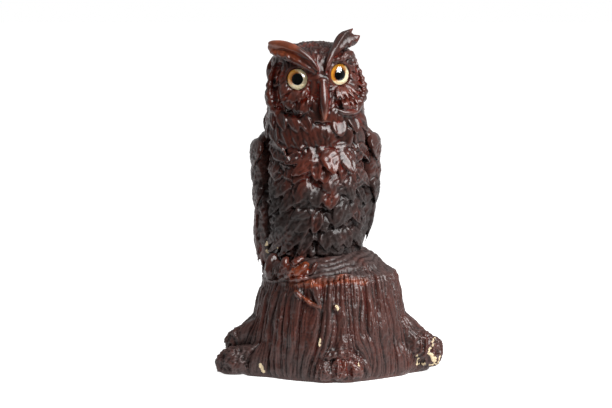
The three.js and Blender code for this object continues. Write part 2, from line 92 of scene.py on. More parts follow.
# Long forms that follow a curve: x, y, z, half width and half depth along each
LIMBS = {
    "right brow": [
        (-7, -25.2, 176.4, 2.2, 2.2),
        (-12.6, -24.6, 181.6, 3.7, 3.2),
        (-20.6, -22, 187.2, 4.6, 3.2),
        (-27.6, -19, 189.8, 4.4, 3.4),
        (-35.4, -13.4, 190.9, 3.6, 3.2),
    ],
    "right brow crest": [
        (-6.6, -27.8, 177.6, 1.5, 1.6),
        (-11.8, -27, 184.2, 2.2, 2),
        (-19.4, -25, 189.5, 2.6, 2.2),
        (-26.8, -22.2, 192.2, 2.7, 2.2),
        (-35.4, -15.4, 193, 2.3, 2.2),
    ],
    "right brow fold": [
        (-8.2, -26.4, 176.4, 1.1, 1.2),
        (-12.8, -26.4, 179.6, 1.7, 1.8),
        (-19.6, -24.4, 183.4, 2, 2.2),
        (-27.4, -20.8, 186.6, 2.2, 2.2),
        (-34.6, -15.6, 188.6, 1.8, 1.8),
    ],
    "left brow": [
        (-2.2, -25.5, 178, 1.9, 2.4),
        (0.7, -23, 186, 2, 2.4),
        (3.7, -18.5, 191.6, 2.3, 2.4),
        (8, -14.5, 196.6, 3.2, 2),
        (13.8, -11, 201.6, 0.6, 0.8),
    ],
    "left brow line": [
        (-2.6, -27.5, 177, 0.8, 1),
        (-0.4, -25.6, 183.6, 0.8, 1.2),
        (3, -21.6, 189.6, 0.8, 1.4),
        (6.4, -17.8, 195.2, 0.7, 1.2),
        (9.6, -14.6, 199.2, 0.6, 1),
        (13.8, -11.6, 201.2, 0.4, 0.6),
    ],
    "left tuft line": [
        (3, -20.6, 189.6, 0.7, 1.2),
        (7, -17.4, 191.6, 0.8, 1.2),
        (12, -14, 192.6, 0.8, 1),
        (15, -11.8, 194.6, 0.6, 0.8),
        (18, -10.4, 197.4, 0.4, 0.6),
    ],
    "left tuft edge": [
        (0, -23, 183, 1.6, 2),
        (4.4, -19, 189.4, 2, 2),
        (9.2, -15, 193, 3, 2.2),
        (13.6, -12, 195.2, 3, 1.8),
        (18.2, -10, 197.4, 0.5, 0.8),
    ],
    "left tuft blade": [
        (3, -17.5, 188.5, 2, 1.6),
        (7, -14.5, 193.2, 4.2, 1.6),
        (10.6, -12.5, 196.2, 4.8, 1.4),
        (13.6, -10.5, 198.4, 1, 0.8),
    ],
    "left upper lid": [
        (1.5, -24, 183, 0.9, 1),
        (6, -22.4, 184.4, 1.6, 1.6),
        (11, -18.8, 186.4, 2, 1.8),
        (14.5, -14, 187, 1, 1),
    ],
    "nose panel": [
        (-5, -22.4, 178, 2, 1),
        (-5.6, -25.4, 172, 5, 1.6),
        (-5.8, -26.4, 162, 5.4, 1.8),
        (-5.6, -26.8, 151.6, 4, 1.6),
    ],
    "beak": [
        (-4, -26.4, 173.4, 1.7, 2),
        (-3.6, -29.2, 166, 2.4, 2.8),
        (-3.2, -31, 158, 2.5, 3.4),
        (-3, -30.6, 149, 1.3, 1.8),
    ],
    "nostril ledge": [
        (-7, -26.8, 171.4, 0.9, 1),
        (-4.2, -28, 172.2, 1.3, 1.4),
        (-1.2, -26.8, 171.8, 0.9, 1),
    ],
    "right rim": [
        (-30.5, -12.6, 182, 1.8, 1.4),
        (-33.6, -10.4, 171, 2.8, 2.2),
        (-33, -13.6, 159, 3.4, 2.4),
        (-27.6, -19.2, 152.6, 3.2, 2.2),
        (-18, -24.2, 149.6, 2, 1.4),
    ],
    "left rim": [
        (13.6, -11, 184, 1.8, 2),
        (17, -9, 174, 2.6, 3),
        (19.2, -9.5, 165, 3, 3.2),
        (15.6, -15, 157, 2.8, 3),
        (6.4, -22, 152, 1.8, 2),
    ],
    "left cheek": [
        (3.4, -24.6, 155.8, 2.4, 2),
        (9, -22.8, 154.4, 3.2, 3),
        (14.4, -18.4, 155, 3, 3),
        (17.8, -12.8, 157, 1.8, 2),
    ],
    "tail": [
        (-8.7, 29, 94, 9, 3),
        (-8.7, 33, 82, 10, 3),
        (-8.7, 35.5, 70, 9, 2.6),
        (-8.7, 37, 60, 6, 2),
    ],
}
TOES = {
    "outer toe": [
        (-31.5, -18, 71, 3, 2.6),
        (-33.2, -20.6, 66, 3.8, 3),
        (-33.8, -22, 60.6, 3.9, 3.4),
        (-33.4, -20.4, 55.6, 3, 2.6),
    ],
    "folded toe": [
        (-24, -28, 69.4, 1.6, 1.6),
        (-26, -31, 66, 2.1, 2.4),
        (-27.8, -30.6, 62, 1.9, 2.2),
        (-28.6, -28.6, 58, 0.9, 1.4),
    ],
    "middle toe": [
        (-12.6, -33.6, 66.8, 1.4, 1.8),
        (-15.4, -36.6, 65.2, 2.1, 2.6),
        (-18.4, -36.8, 63, 1.9, 2.4),
        (-20.8, -35, 61, 0.9, 1.4),
    ],
    "inner toe": [
        (-7, -34, 68.4, 1, 1),
        (-9.4, -36, 65.2, 1.4, 1.6),
        (-11.6, -36.4, 61.6, 1, 1.2),
    ],
    "pad of the foot": [
        (-34, -20.4, 63.4, 4.6, 3),
        (-26.6, -28, 62.8, 5, 3.2),
        (-18.4, -34, 62.6, 4.4, 3.2),
        (-11, -35, 62.2, 2.6, 2.4),
    ],
    "fold above the toes": [
        (-15.6, -34.6, 70.8, 1, 1.2),
        (-18.8, -36, 68.6, 1.7, 2),
        (-22.4, -34.4, 65.8, 1, 1.2),
    ],
    "fold below the toes": [
        (-11.6, -36.8, 58.8, 0.9, 1.2),
        (-17, -37, 59, 1.6, 2),
        (-23, -33.6, 58.2, 1.2, 1.6),
    ],
    "fold between the toes": [
        (-30.4, -26, 66.6, 0.9, 1.2),
        (-30, -27, 62.6, 1.3, 1.8),
        (-27.4, -29.6, 58.8, 1.4, 2),
    ],
}
RIM_TEETH = {"right rim": 10, "left rim": 10}
RIM_TOOTH = 0.18
LIMB_ROOT = 2.6

# Feathers carved one by one: root x and z, tip x and z, width, and how far the tip stands off
FACE_LEAVES = [
    (5, 168.6, 3.6, 161.4, 2.4, 1.6),
    (6, 168.8, 6.4, 161.4, 2.4, 2.2),
    (7.8, 169.1, 9.4, 161.6, 2.4, 2.6),
    (9.3, 169.7, 12.2, 162.4, 2.4, 2.8),
    (10.5, 170.6, 14.8, 163.8, 2.4, 2.6),
    (11.5, 171.7, 16.6, 166.4, 2.4, 2.2),
    (12.2, 173, 17.8, 169.2, 2.4, 1.6),
    (12.8, 174.6, 18.2, 172.4, 2.4, 1),
    (8, 161.4, 7.2, 156.6, 2.2, 1.2),
    (10.2, 162, 9.8, 157, 2.2, 1.6),
    (12.4, 162.6, 12.4, 157.6, 2.2, 1.8),
    (14.6, 163.4, 15, 158.4, 2.2, 1.8),
    (16.6, 164.4, 17.4, 159.6, 2.2, 1.6),
    (-12.4, 159.6, -17.2, 152.8, 5, 1.4),
    (-18, 166, -21.5, 159.5, 4, 0.7),
    (-22, 162, -26, 155, 4.4, 1),
    (-26.4, 171.6, -29.4, 163.5, 4.2, 0.9),
    (-13.6, 167.4, -15.5, 161.6, 3, 0.5),
    (-28, 180, -30.4, 173, 4, 0.8),
    (-16.4, 165.6, -18, 159.6, 2.6, 0.9),
    (-20.4, 166, -24, 160.6, 2.8, 0.9),
    (-24.2, 168.4, -28.6, 163, 2.8, 1),
    (-27, 174.4, -31, 169.4, 2.8, 0.9),
    (-21.4, 159.6, -24.6, 153.6, 3, 1.1),
    (-26.6, 163.4, -30.6, 157.6, 3, 1.1),
    (-10.6, 163.4, -13.4, 156.4, 2.6, 0.8),
    (11, 177, 15.5, 173.4, 3.4, 0.7),
    (11.4, 181.4, 15.4, 178.4, 3.2, 0.7),
]
RUFF_LEAVES = [
    (5.4, 149.5, 5, 140.6, 8, 2.4),
    (13.2, 152, 14.4, 142.8, 6.6, 2.4),
    (17, 155, 20, 148.6, 4.4, 1.2),
    (18, 149.6, 20.6, 143.6, 4.6, 1.2),
    (-34, 155, -31.4, 145.6, 6, 1),
    (-28.6, 154, -24.6, 144.6, 6.5, 1),
    (-22.5, 152.6, -17.6, 143.6, 6.5, 1),
    (-16, 151.4, -10.6, 143, 6, 1),
    (-35.6, 149, -34.6, 139.4, 7, 1.2),
    (-32.6, 147.6, -28.4, 136.6, 7.5, 1.4),
    (-27.6, 146.6, -22, 134.2, 8, 1.2),
    (-22, 145.6, -16, 132.2, 8.6, 1.3),
    (-16, 145, -10, 131, 8.6, 1.3),
    (-10.6, 144.4, -4.6, 131, 8.4, 1.3),
    (-2, 146.4, -0.6, 138.6, 6, 1),
    (-4, 147, -5.6, 140.4, 4, 0.8),
    (-1.4, 142, -2.6, 131.8, 7, 1.6),
    (5.9, 144.4, 6.2, 129.8, 13, 1.6),
    (15, 144.4, 17.6, 131, 8, 1.4),
    (-33.6, 147, -31.6, 137.4, 6, 0.7),
    (-29.6, 145, -25.4, 134.6, 6.4, 0.7),
    (-24.4, 144, -19, 132.4, 6.4, 0.7),
    (-18.4, 143.6, -13, 130.8, 6.4, 0.7),
]
BREAST_LEAVES = [
    (-33, 135, -22.6, 126.4, 8, 1.2),
    (-17.4, 129.6, -25, 124.4, 5.6, 1.6),
    (-8.8, 128.8, -21, 117, 7.4, 1.8),
    (-7.7, 128, -8.1, 114.4, 6, 1),
    (-0.4, 132, 1.6, 119, 10, 4.4),
    (7, 128, 7.4, 114.6, 6, 1),
    (8, 132, 11.8, 119.4, 8.6, 4.2),
    (17, 136, 21, 127.4, 6, 1.2),
    (-4, 121.6, -2.6, 113.4, 7, 0.7),
    (16, 121, 20.7, 112.4, 6, 1.4),
    (-23.8, 115.6, -30.4, 104.6, 6.2, 1.4),
    (-12.6, 113, -19.6, 101.6, 7.4, 1.6),
    (-1.4, 115.6, 1.8, 106, 8, 0.7),
    (0.8, 110, -1.3, 98.2, 10, 1.2),
    (10.2, 117, 13.4, 103, 7, 0.8),
    (-30, 126, -32.6, 117, 5.6, 1.2),
    (-29.6, 116, -33.6, 107, 5, 1.2),
    (-7.4, 110, -8.8, 98.6, 8, 1.2),
    (16.8, 110.6, 19.6, 100.6, 5.4, 1.2),
    (-20.4, 106.4, -28.2, 97.2, 6.6, 1.4),
    (8.4, 103.6, 3.4, 87, 9, 0.8),
    (-11, 99.6, -21, 93, 8, 1.4),
    (-22.4, 97, -30.4, 87.8, 6.4, 1.6),
    (-10.2, 95, -18.4, 84.6, 7.4, 1.2),
    (12.8, 101, 15.8, 90, 6, 1.2),
    (16.4, 100, 19.2, 91, 5, 1.2),
    (-6.4, 96.6, -8.8, 84, 6.4, 0.7),
    (-28.4, 104, -33.6, 95, 5.4, 1.2),
    (-14, 87, -27.9, 71.7, 6, 1.2),
    (-19, 88, -32.2, 73.4, 6, 1.2),
    (-24.3, 89, -34.3, 77, 5.6, 1.2),
    (-10.6, 84, -17.6, 71.7, 5.4, 1.2),
    (-3.4, 84, -1.4, 73.4, 6, 0.8),
    (1.8, 86, 5.2, 75, 7.6, 1),
    (8, 86.6, 10.6, 75.6, 7.6, 1),
    (13.6, 87, 17.2, 77, 7, 1),
    (-13, 77, -20, 66.4, 5.4, 2),
    (-18.6, 97, -25, 86.4, 6.4, 0.7),
]

# Lines pressed into the owl: how wide, how deep, and the places along each
GROOVES = {
    "breast crease": (1.3, 1.4, [(-17, 98.6), (-12, 99), (-7.6, 98), (-2, 97.4)]),
    "belly hole": (1.3, 2.0, [(-8.6, 78.4), (-8.4, 77.6)]),
    "right disc": (2, 1.9, [(-29.4, 183), (-31.6, 175), (-31.6, 166), (-29.6, 158.4), (-24, 153.4), (-17, 152.4)]),
    "left disc": (1.1, 1.4, [(15.4, 184), (17, 174), (16.8, 167)]),
    "cheek hollow": (1.2, 2, [(4.4, 160.6), (5, 157.8), (9, 156), (15, 156.6)]),
    "mouth": (0.7, 1.4, [(-7.8, 148), (-3.3, 147.4), (-0.4, 147.8)]),
    "brow fold": (0.8, 0.7, [(-32, 190.8), (-26.8, 190.4), (-18.2, 187.2), (-11.3, 183.2), (-8.3, 179.6)]),
    "nose right": (0.9, 0.7, [(-11.6, 172), (-12, 164), (-11.4, 156)]),
    "nose left": (0.9, 0.7, [(0.4, 170), (0.6, 162), (0, 155)]),
    "collar": (1.6, 0.6, [(-36, 135), (-30, 132.4), (-22, 129.6), (-12, 128.6), (-5, 130)]),
}

# Folded wings
WINGS = [
    {
        "side": -1,
        "low": 55,
        "high": 141,
        "thick": [6.4, 7.4, 7.4, 7, 6.6, 7, 7.8, 7.8, 6.8],
        "front": [84, 82, 81, 80, 80, 80],
        "edge_rows": 8,
    },
    {
        "side": 1,
        "low": 67,
        "high": 144.5,
        "thick": [1, 2.2, 4, 5.6, 7, 7.6, 7.4, 7, 6],
        "front": [104, 94, 87, 82, 80, 80],
        "edge_rows": 3,
    },
]
WING_BACK_EDGE = [150, 165, 168, 162, 148, 122]
WING_ROOT = -3
WING_GROOVE = {"depth": 5, "ahead": 6, "width": 5}
COVERTS = {"rows": 3, "across": 2, "drop": 12.5, "width": 17, "length": 18, "thick": 2}
EDGE_COVERTS = {"drop": 9.4, "width": 6, "length": 13, "thick": 1.2, "turn": 12}
FLIGHT = {"across": 3, "width": 12, "thick": 2, "share": 0.4}

# Larger feathers in rows behind
MANTLE = {"z": 132, "drop": 17, "rows": 3, "across": 2, "spread": 30, "width": 16, "length": 20, "thick": 2.2, "fan": 0}
NAPE = {"z": 9, "drop": 15, "rows": 3, "across": 4, "spread": 54, "width": 18, "length": 18, "thick": 2, "fan": 0}
BARB = {"pitch": 1.9, "depth": 0.26, "slant": 1.2}
FLUTE = {"count": 3, "depth": 0.18}

# Stump
STUMP = {"x": 0.5, "rim_z": 57, "undercut": 1.4, "root_undercut": 3, "columns": 80, "rows": 12, "cuts": 5}
BARK = {"plates": 29, "plate": 2, "grooves": 61, "groove": 1.5, "grain": 173, "grain_depth": 0.75, "top": 55, "climb": 6, "ragged": 5}
TRUNK = {"step": 14.5, "radius": [46.4, 46.4, 45.2, 42.4, 39.6]}
TOP = [
    (39.2, 57),
    (39.4, 58.6),
    (38.4, 60.2),
    (36.4, 61.8),
    (33.8, 64.6),
    (30.4, 67.6),
    (26, 70.5),
    (20, 73.2),
    (12, 75),
    (0, 76),
]
TOP_SHIFT = {"x": -2.5, "low": 57, "high": 62}
ROOTS = [
    {"angle": -4, "reach": 50, "spread": 7, "top": 17, "power": 4},
    {"angle": 11, "reach": 50, "spread": 8, "top": 17, "power": 4},
    {"angle": 5, "reach": 48, "spread": 20, "top": 28, "power": 3},
    {"angle": 68, "reach": 51, "spread": 15, "top": 22, "power": 3},
    {"angle": 94, "reach": 62, "spread": 22, "top": 34, "power": 3},
    {"angle": 142, "reach": 58, "spread": 15, "top": 26, "power": 3},
    {"angle": 178, "reach": 54, "spread": 13, "top": 22, "power": 3},
    {"angle": -138, "reach": 60, "spread": 14, "top": 27, "power": 3},
    {"angle": -94, "reach": 60, "spread": 24, "top": 33, "power": 3},
    {"angle": -68, "reach": 57, "spread": 14, "top": 21, "power": 3},
]
KNOB = {"angle": 9 * DEG, "z": 6, "radius": 10, "from": 30, "to": 12}
STUMP_LIMBS = {
    "arch": [
        (-9.4, -41.6, 4, 2.2, 1.8),
        (-4.6, -45, 12.4, 2.4, 2.4),
        (3, -46.8, 16.4, 2.6, 2.6),
        (12.4, -45.8, 15.6, 2.6, 2.6),
        (19.4, -42.8, 9.6, 2.4, 2.4),
        (23.4, -40.4, 3, 1.8, 1.8),
    ],
    "right lobe of the knob": [
        (-2.6, -45, 13, 3, 2.6),
        (-3.2, -48.4, 8, 4.6, 3.4),
        (-3.8, -48.4, 2.4, 4.2, 3),
    ],
    "middle lobe of the knob": [
        (4.4, -45.6, 14, 3.6, 2.6),
        (5.4, -48.2, 8, 4.8, 3.2),
        (5.2, -48.4, 2.4, 4.4, 3),
    ],
    "left lobe of the knob": [
        (13, -44.4, 12, 3.4, 2.6),
        (14, -46.6, 7, 4.4, 3.2),
        (14.2, -46.6, 2.4, 4.4, 3),
    ],
    "upper right root": [
        (-34, -10, 31, 5, 5),
        (-44, -9, 25, 6.4, 6),
        (-53, -7, 19, 6.6, 6),
        (-60.4, -5.6, 14.6, 4.8, 5),
    ],
    "lower right root": [
        (-38, -19, 12, 7, 7),
        (-50, -18.5, 9, 8.4, 8.4),
        (-59, -15.5, 6.6, 8, 8),
        (-65.6, -12, 5.4, 4.4, 5),
    ],
    "left root": [
        (38, -10, 24, 7, 7),
        (50, -9.6, 16.4, 9.2, 8.6),
        (58, -8.6, 12.4, 9.6, 9),
        (65.6, -7, 10.4, 8.6, 8.4),
    ],
    "drip": [
        (-10.6, -38.6, 58.4, 1.4, 1.6),
        (-9.2, -40, 54.6, 2.2, 2.2),
        (-7.4, -41, 50.4, 2, 2),
        (-5.6, -42, 45.4, 1.3, 1.6),
        (-4.8, -42.6, 40, 0.8, 0.8),
    ],
    "branch of the drip": [
        (-20.4, -35.6, 52, 0.9, 1),
        (-16.4, -38.4, 48.6, 1.1, 1.2),
        (-11, -41, 45.4, 1.1, 1.2),
        (-5.8, -42.6, 43.4, 0.8, 0.8),
    ],
    "knot": [
        (3.6, -42.6, 44.6, 0.9, 1),
        (3.9, -43.4, 42.6, 1.7, 1.8),
        (4, -43, 40.4, 0.9, 1),
    ],
    "rolled rim": [
        (-28, -26.4, 54, 1, 1),
        (-18, -34.2, 55.4, 1.7, 1.7),
        (-7, -38.2, 57.6, 2, 1.8),
        (4, -38.8, 59.8, 1.8, 1.8),
        (12, -36, 61, 1, 1),
    ],
}
SWIRL = {"pitch": 2.6, "depth": 0.95, "leans": (7, 4.4), "wave": 1.2, "from_z": 58}

# How finely the two castings are cut, in millimetres, and the triangles each may keep
OWL_GRAIN = 0.45
STUMP_GRAIN = 0.5
TRIANGLES = 190000


def rise(low, high, v):
    """A steady rise from 0 to 1 between two values."""
    t = np.clip((v - low) / (high - low), 0, 1)
    return t * t * (3 - 2 * t)


def vary(n):
    """A repeatable number from -0.5 to 0.5 that varies the hand-made details."""
    s = math.sin(n * 12.9898) * 43758.5453
    return s - math.floor(s) - 0.5


def along(values, place):
    """Values read from an evenly spaced row of numbers, on a smooth curve through them."""
    values = np.asarray(values, float)
    last = len(values) - 1
    p = np.clip(place, 0, last)
    i = np.minimum(np.floor(p).astype(int), last - 1)
    t = p - i
    a, b, c, d = (values[np.clip(i + k, 0, last)] for k in (-1, 0, 1, 2))
    return 0.5 * (2 * b + (c - a) * t + (2 * a - 5 * b + 4 * c - d) * t**2 + (3 * b - a - 3 * c + d) * t**3)


def ripple(points, size, seed, waves=7):
    """A soft random swell over space, from about -1 to 1, whose bumps are about this size."""
    dice = np.random.default_rng(seed)
    points = np.asarray(points, float)
    total = np.zeros(len(points))
    for _ in range(waves):
        way = dice.normal(size=points.shape[1])
        way *= TURN / (size * np.linalg.norm(way)) * dice.uniform(0.7, 1.3)
        total += np.sin(points @ way + dice.uniform(0, TURN))
    return total / math.sqrt(waves) / 1.2


def crease(points, size, seed):
    """Sharp crests between soft hollows, from about 0 to 1."""
    return 1 - np.minimum(np.abs(ripple(points, size, seed)), 1)


def shag(p, count, seed):
    """Ragged overlapping tufts: how far down its own tuft each point lies, and how near its edge."""
    dice = np.random.default_rng(seed)
    draws = dice.uniform(p.min(axis=0), p.max(axis=0), (count, 3))
    picks = [int(np.argmin(np.sum((p - place) ** 2, axis=1))) for place in draws]
    middles = p[list(dict.fromkeys(picks))]
    nearest = np.full(len(p), 1e9)
    second = nearest.copy()
    down = np.zeros(len(p))
    for middle, level in zip(middles, dice.uniform(-1, 1, count)):
        away = p - middle
        slant = SHAG["slant"] * np.sign(middle[0] - TORSO["x"])
        ahead = (away[:, 0] * slant - away[:, 2]) / math.hypot(1, slant)
        apart = np.sqrt(np.sum(away**2, axis=1) - ahead**2 * (1 - SHAG["long"] ** -2))
        closer = apart < nearest
        second = np.where(closer, nearest, np.minimum(second, apart))
        down = np.where(closer, ahead + level, down)
        nearest = np.where(closer, apart, nearest)
    return down, second - nearest


def shaggy(p, share, seed):
    """The height of rough carved plumage over a mass: large tufts with smaller ones on them."""
    down, edge = shag(p, SHAG["large"], seed)
    high = SHAG["large_depth"] * (np.clip(down / 5, -1, 1) - rise(1.2, 0, edge))
    down, edge = shag(p, SHAG["small"], seed + 1)
    return share * (high + SHAG["small_depth"] * (np.clip(down / 2.5, -1, 1) - rise(0.8, 0, edge)))


def skin(mass, angle, z, lift=0):
    """The points of a mass's skin at angles from its front and heights."""
    place = (z - mass["low"]) / mass["step"]
    s, c = np.sin(angle), np.cos(angle)
    depth = np.where(c > 0, along(mass["front"], place), along(mass["back"], place))
    width = along(mass["width"], place)
    r = (np.abs(s / width) ** SECTION_POWER + np.abs(c / depth) ** SECTION_POWER) ** (-1 / SECTION_POWER) + lift
    return np.stack([r * s + mass["x"], -r * c, z + 0 * r], -1)


def as_seen(p):
    """Places on the upright plane of SEEN where the camera sees points."""
    back = p[..., 1] - SEEN["y"]
    scale = 1 / (1 + back / (VIEW_DISTANCE / MM + SEEN["y"]))
    aim = AIM / MM
    return aim.x + (p[..., 0] - aim.x) * scale, p[..., 2] + back * SEEN["slope"]


HEAD_PLACE = np.array(Matrix.Rotation(-HEAD_LEAN, 3, "Y") @ Matrix.Rotation(HEAD_TURN, 3, "Z"))


def on_body(p):
    """From the head's own directions to its place on the body."""
    return p @ HEAD_PLACE.T + HEAD_AT


def torso_at(angle, z):
    return skin(TORSO, angle, z)


def head_at(angle, z):
    return on_body(skin(HEAD, angle, z))


def mesh_of(bm, name, cuts=0):
    """The bmesh as a mesh, each face first cut into a finer grid."""
    if cuts:
        bmesh.ops.subdivide_edges(bm, edges=bm.edges, cuts=cuts, use_grid_fill=True)
    made = bpy.data.meshes.new(name)
    bm.to_mesh(made)
    bm.free()
    return made


def ball(columns, rows, cuts=0):
    """A unit ball with its poles on Z, as a mesh to mould."""
    bm = bmesh.new()
    bmesh.ops.create_uvsphere(bm, u_segments=columns, v_segments=rows, radius=1)
    return mesh_of(bm, "ball", cuts)


def spun(profile, steps, cuts=0):
    """A profile of radius and height turned round Z into a closed form."""
    bm = bmesh.new()
    verts = [bm.verts.new((r, 0, z)) for r, z in profile]
    edges = [bm.edges.new(pair) for pair in zip(verts, verts[1:])]
    bmesh.ops.spin(
        bm,
        geom=verts + edges,
        cent=(0, 0, 0),
        axis=(0, 0, 1),
        dvec=(0, 0, 0),
        angle=TURN,
        steps=steps,
        use_merge=True,
    )
    bmesh.ops.remove_doubles(bm, verts=bm.verts, dist=1e-5)
    bmesh.ops.recalc_face_normals(bm, faces=bm.faces)
    return mesh_of(bm, "spun", cuts)


def points_of(mesh):
    flat = np.empty(len(mesh.vertices) * 3)
    mesh.vertices.foreach_get("co", flat)
    return flat.reshape(-1, 3)


def normals_of(mesh):
    flat = np.empty(len(mesh.vertices) * 3)
    mesh.vertices.foreach_get("normal", flat)
    return flat.reshape(-1, 3)


def edges_of(mesh):
    flat = np.empty(len(mesh.edges) * 2, np.int32)
    mesh.edges.foreach_get("vertices", flat)
    return flat.reshape(-1, 2)


def place_points(mesh, points):
    mesh.vertices.foreach_set("co", np.asarray(points, float).ravel())
    mesh.update()


def add_form(clay, template, points):
    """Adds a moulded copy of a template mesh to the clay, points in millimetres."""
    form = template.copy()
    place_points(form, points)
    clay.from_mesh(form)
    bpy.data.meshes.remove(form)


def mass_points(mass, template):
    p = points_of(template)
    high = mass["low"] + mass["step"] * (len(mass["width"]) - 1)
    z = mass["low"] + (high - mass["low"]) * (p[:, 2] + 1) / 2
    closing = np.sqrt(np.maximum(0, 1 - np.abs(p[:, 2]) ** MASS_END_POWER))
    on = skin(mass, np.arctan2(p[:, 0], -p[:, 1]), z)
    x = mass["x"] + (on[:, 0] - mass["x"]) * closing
    return np.stack([x, on[:, 1] * closing, z], -1)


def pushed(p, middle_x, amount):
    """Points moved out from a mass's own axis, or in where the amount is negative."""
    r = np.maximum(np.hypot(p[:, 0] - middle_x, p[:, 1]), 1e-6)
    out = np.stack([(p[:, 0] - middle_x) / r, p[:, 1] / r, 0 * r], -1)
    return p + out * amount[:, None]


def carve_head(p):
    """The head's skin pressed in round the eyes, with fans of feather lines and a rough neck."""
    across = (np.abs(p[:, 0]) - DISC["x"]) / DISC["half_width"]
    up = (p[:, 2] - DISC["z"]) / DISC["half_height"]
    ring = np.hypot(across, up)
    front = rise(0, 12, -p[:, 1])
    press = DISC["depth"] * np.maximum(0, 1 - ring**2) * front
    r = np.maximum(np.hypot(p[:, 0], p[:, 1]), 1e-6)
    p = np.stack([p[:, 0] * (1 - 0.4 * press / r), p[:, 1] * (1 - press / r), p[:, 2]], -1)
    round_eye = np.arctan2(up, across)
    fan = np.abs(np.sin(0.5 * DISC["fans"] * round_eye + 1.2 * ripple(p, 11, 21))) ** 0.6
    fan_share = rise(0.4, 0.6, ring) * rise(1.25, 0.95, ring) * front
    lines = DISC["fan_depth"] * (fan - 0.6) * fan_share
    neck = np.maximum(rise(-18, -24, p[:, 2]), 1 - front) * rise(20, 10, p[:, 2])
    return pushed(p, 0, lines + shaggy(p, 0.7 * neck, 23))


def carve_torso(p):
    """The torso's skin roughly feathered, with the deep groove ahead of each wing."""
    angle = np.arctan2(p[:, 0] - TORSO["x"], -p[:, 1]) / DEG
    press = np.zeros(len(p))
    for wing in WINGS:
        up = (p[:, 2] - wing["low"]) / (wing["high"] - wing["low"])
        edge = along(wing["front"], up * (len(wing["front"]) - 1)) - WING_GROOVE["ahead"]
        away = (angle * wing["side"] - edge) / WING_GROOVE["width"]
        press += WING_GROOVE["depth"] * np.exp(-(away**2)) * rise(0.02, 0.12, up) * rise(1.02, 0.9, up)
    return pushed(p, TORSO["x"], shaggy(p, 1, 11) - press)


def limb_points(template, line, teeth=0):
    """A tapering form along a curve, its width across the curve as seen from the front."""
    p = points_of(template)
    line = np.array(line, float)
    t = np.clip((1 - p[:, 2]) / 2, 0, 1)
    round_off = np.maximum(np.hypot(p[:, 0], p[:, 1]), 1e-9)
    closing = np.sqrt(np.maximum(0, 1 - np.abs(p[:, 2]) ** 5))
    tooth = 1 + (RIM_TOOTH * np.cos(TURN * teeth * t) if teeth else 0)
    last = len(line) - 1

    def at(u, columns=(0, 1, 2)):
        return np.stack([along(line[:, k], u * last) for k in columns], -1)

    ahead = at(np.minimum(t + 0.01, 1)) - at(np.maximum(t - 0.01, 0))
    ahead /= np.linalg.norm(ahead, axis=1, keepdims=True)
    side = np.cross(np.array([0, -1.0, 0]), ahead)
    side /= np.linalg.norm(side, axis=1, keepdims=True)
    out = np.cross(ahead, side)
    width, depth = at(t, (3, 4)).T * tooth
    across = p[:, 0] / round_off * closing * width
    root = np.where(p[:, 1] < 0, LIMB_ROOT, 0)
    outward = p[:, 1] / round_off * closing * (depth + root)
    return at(t) + side * across[:, None] + out * outward[:, None]


def surface_frame(point_at, angle, z):
    """A place on a surface with its directions: across it, out of it and up along it."""
    turn, climb = 0.01, 0.5

    def at(a, h):
        return point_at(np.array([a]), np.array([h]))[0]

    across = at(angle + turn, z) - at(angle - turn, z)
    up = at(angle, z + climb) - at(angle, z - climb)
    up /= np.linalg.norm(up)
    out = np.cross(across, up)
    out /= np.linalg.norm(out)
    return at(angle, z), np.cross(up, out), out, up


def turned(where, turn):
    at, across, out, up = where
    c, s = math.cos(turn), math.sin(turn)
    return at, across * c + up * s, out, up * c - across * s


def feather_points(template, where, width, length, thick, lift=1.2, flutes=0, bend=0.0, cupped=False):
    """A pointed leaf, fluted or barbed, its root sunk in the surface and its tip standing off it."""
    at, side, out, ahead = where
    p = points_of(template)
    t = np.clip((1 - p[:, 2]) / 2, 0, 1)
    round_off = np.maximum(np.hypot(p[:, 0], p[:, 1]), 1e-9)
    u, n = p[:, 0] / round_off, p[:, 1] / round_off
    leaf = 2.5 * t**0.5 * (1 - t) ** 0.95
    half = 0.5 * width * leaf
    swell = np.sin(math.pi * t)
    if flutes:
        wave = FLUTE["depth"] * np.cos(TURN * flutes * u / 2) * swell
    else:
        run = t * length + np.abs(u) * half * BARB["slant"]
        wave = BARB["depth"] * np.cos(TURN * run / BARB["pitch"]) * swell
    edge = np.minimum(1, np.abs(n) / 0.4) ** 0.6
    roof = 0.4 + 0.6 * np.abs(u) ** 1.5 if cupped else 0.4 + 0.6 * (1 - np.abs(u))
    top = (thick * roof * np.minimum(1, leaf * 1.2) + wave) * edge
    under = -(0.4 + 0.35 * lift + 2.4 * rise(0.75, 0.2, t)) * leaf * edge
    stand = np.where(n > 0, top, under) + lift * rise(0.2, 1, t) - 1.4 * rise(0.4, 0, t)
    sway = u * half * (1 + 0.08 * wave) + bend * (t - 0.5) ** 2 * width
    return at + np.outer(sway, side) + np.outer(stand, out) + np.outer((0.5 - t) * length, ahead)


def add_plumage(clay, template, point_at, rows, seed, middle=0.0):
    """Rows of feathers over a surface, each row set between the feathers of the one above."""
    for row in range(rows["rows"]):
        count = rows["across"] + row % 2
        for i in range(count):
            n = seed + 31 * row + 7 * i
            share = 2 * i / (count - 1) - 1 if count > 1 else 0
            angle = (share * rows["spread"] + 6 * vary(n)) * DEG + middle
            z = rows["z"] - row * rows["drop"] + 3 * vary(n + 1)
            scale = 1 + 0.3 * vary(n + 2)
            turn = (-share * rows["fan"] + 16 * vary(n + 3)) * DEG
            where = turned(surface_frame(point_at, angle, z), turn)
            size = rows["width"] * scale, rows["length"] * scale, rows["thick"]
            add_form(clay, template, feather_points(template, where, *size, bend=vary(n + 4)))


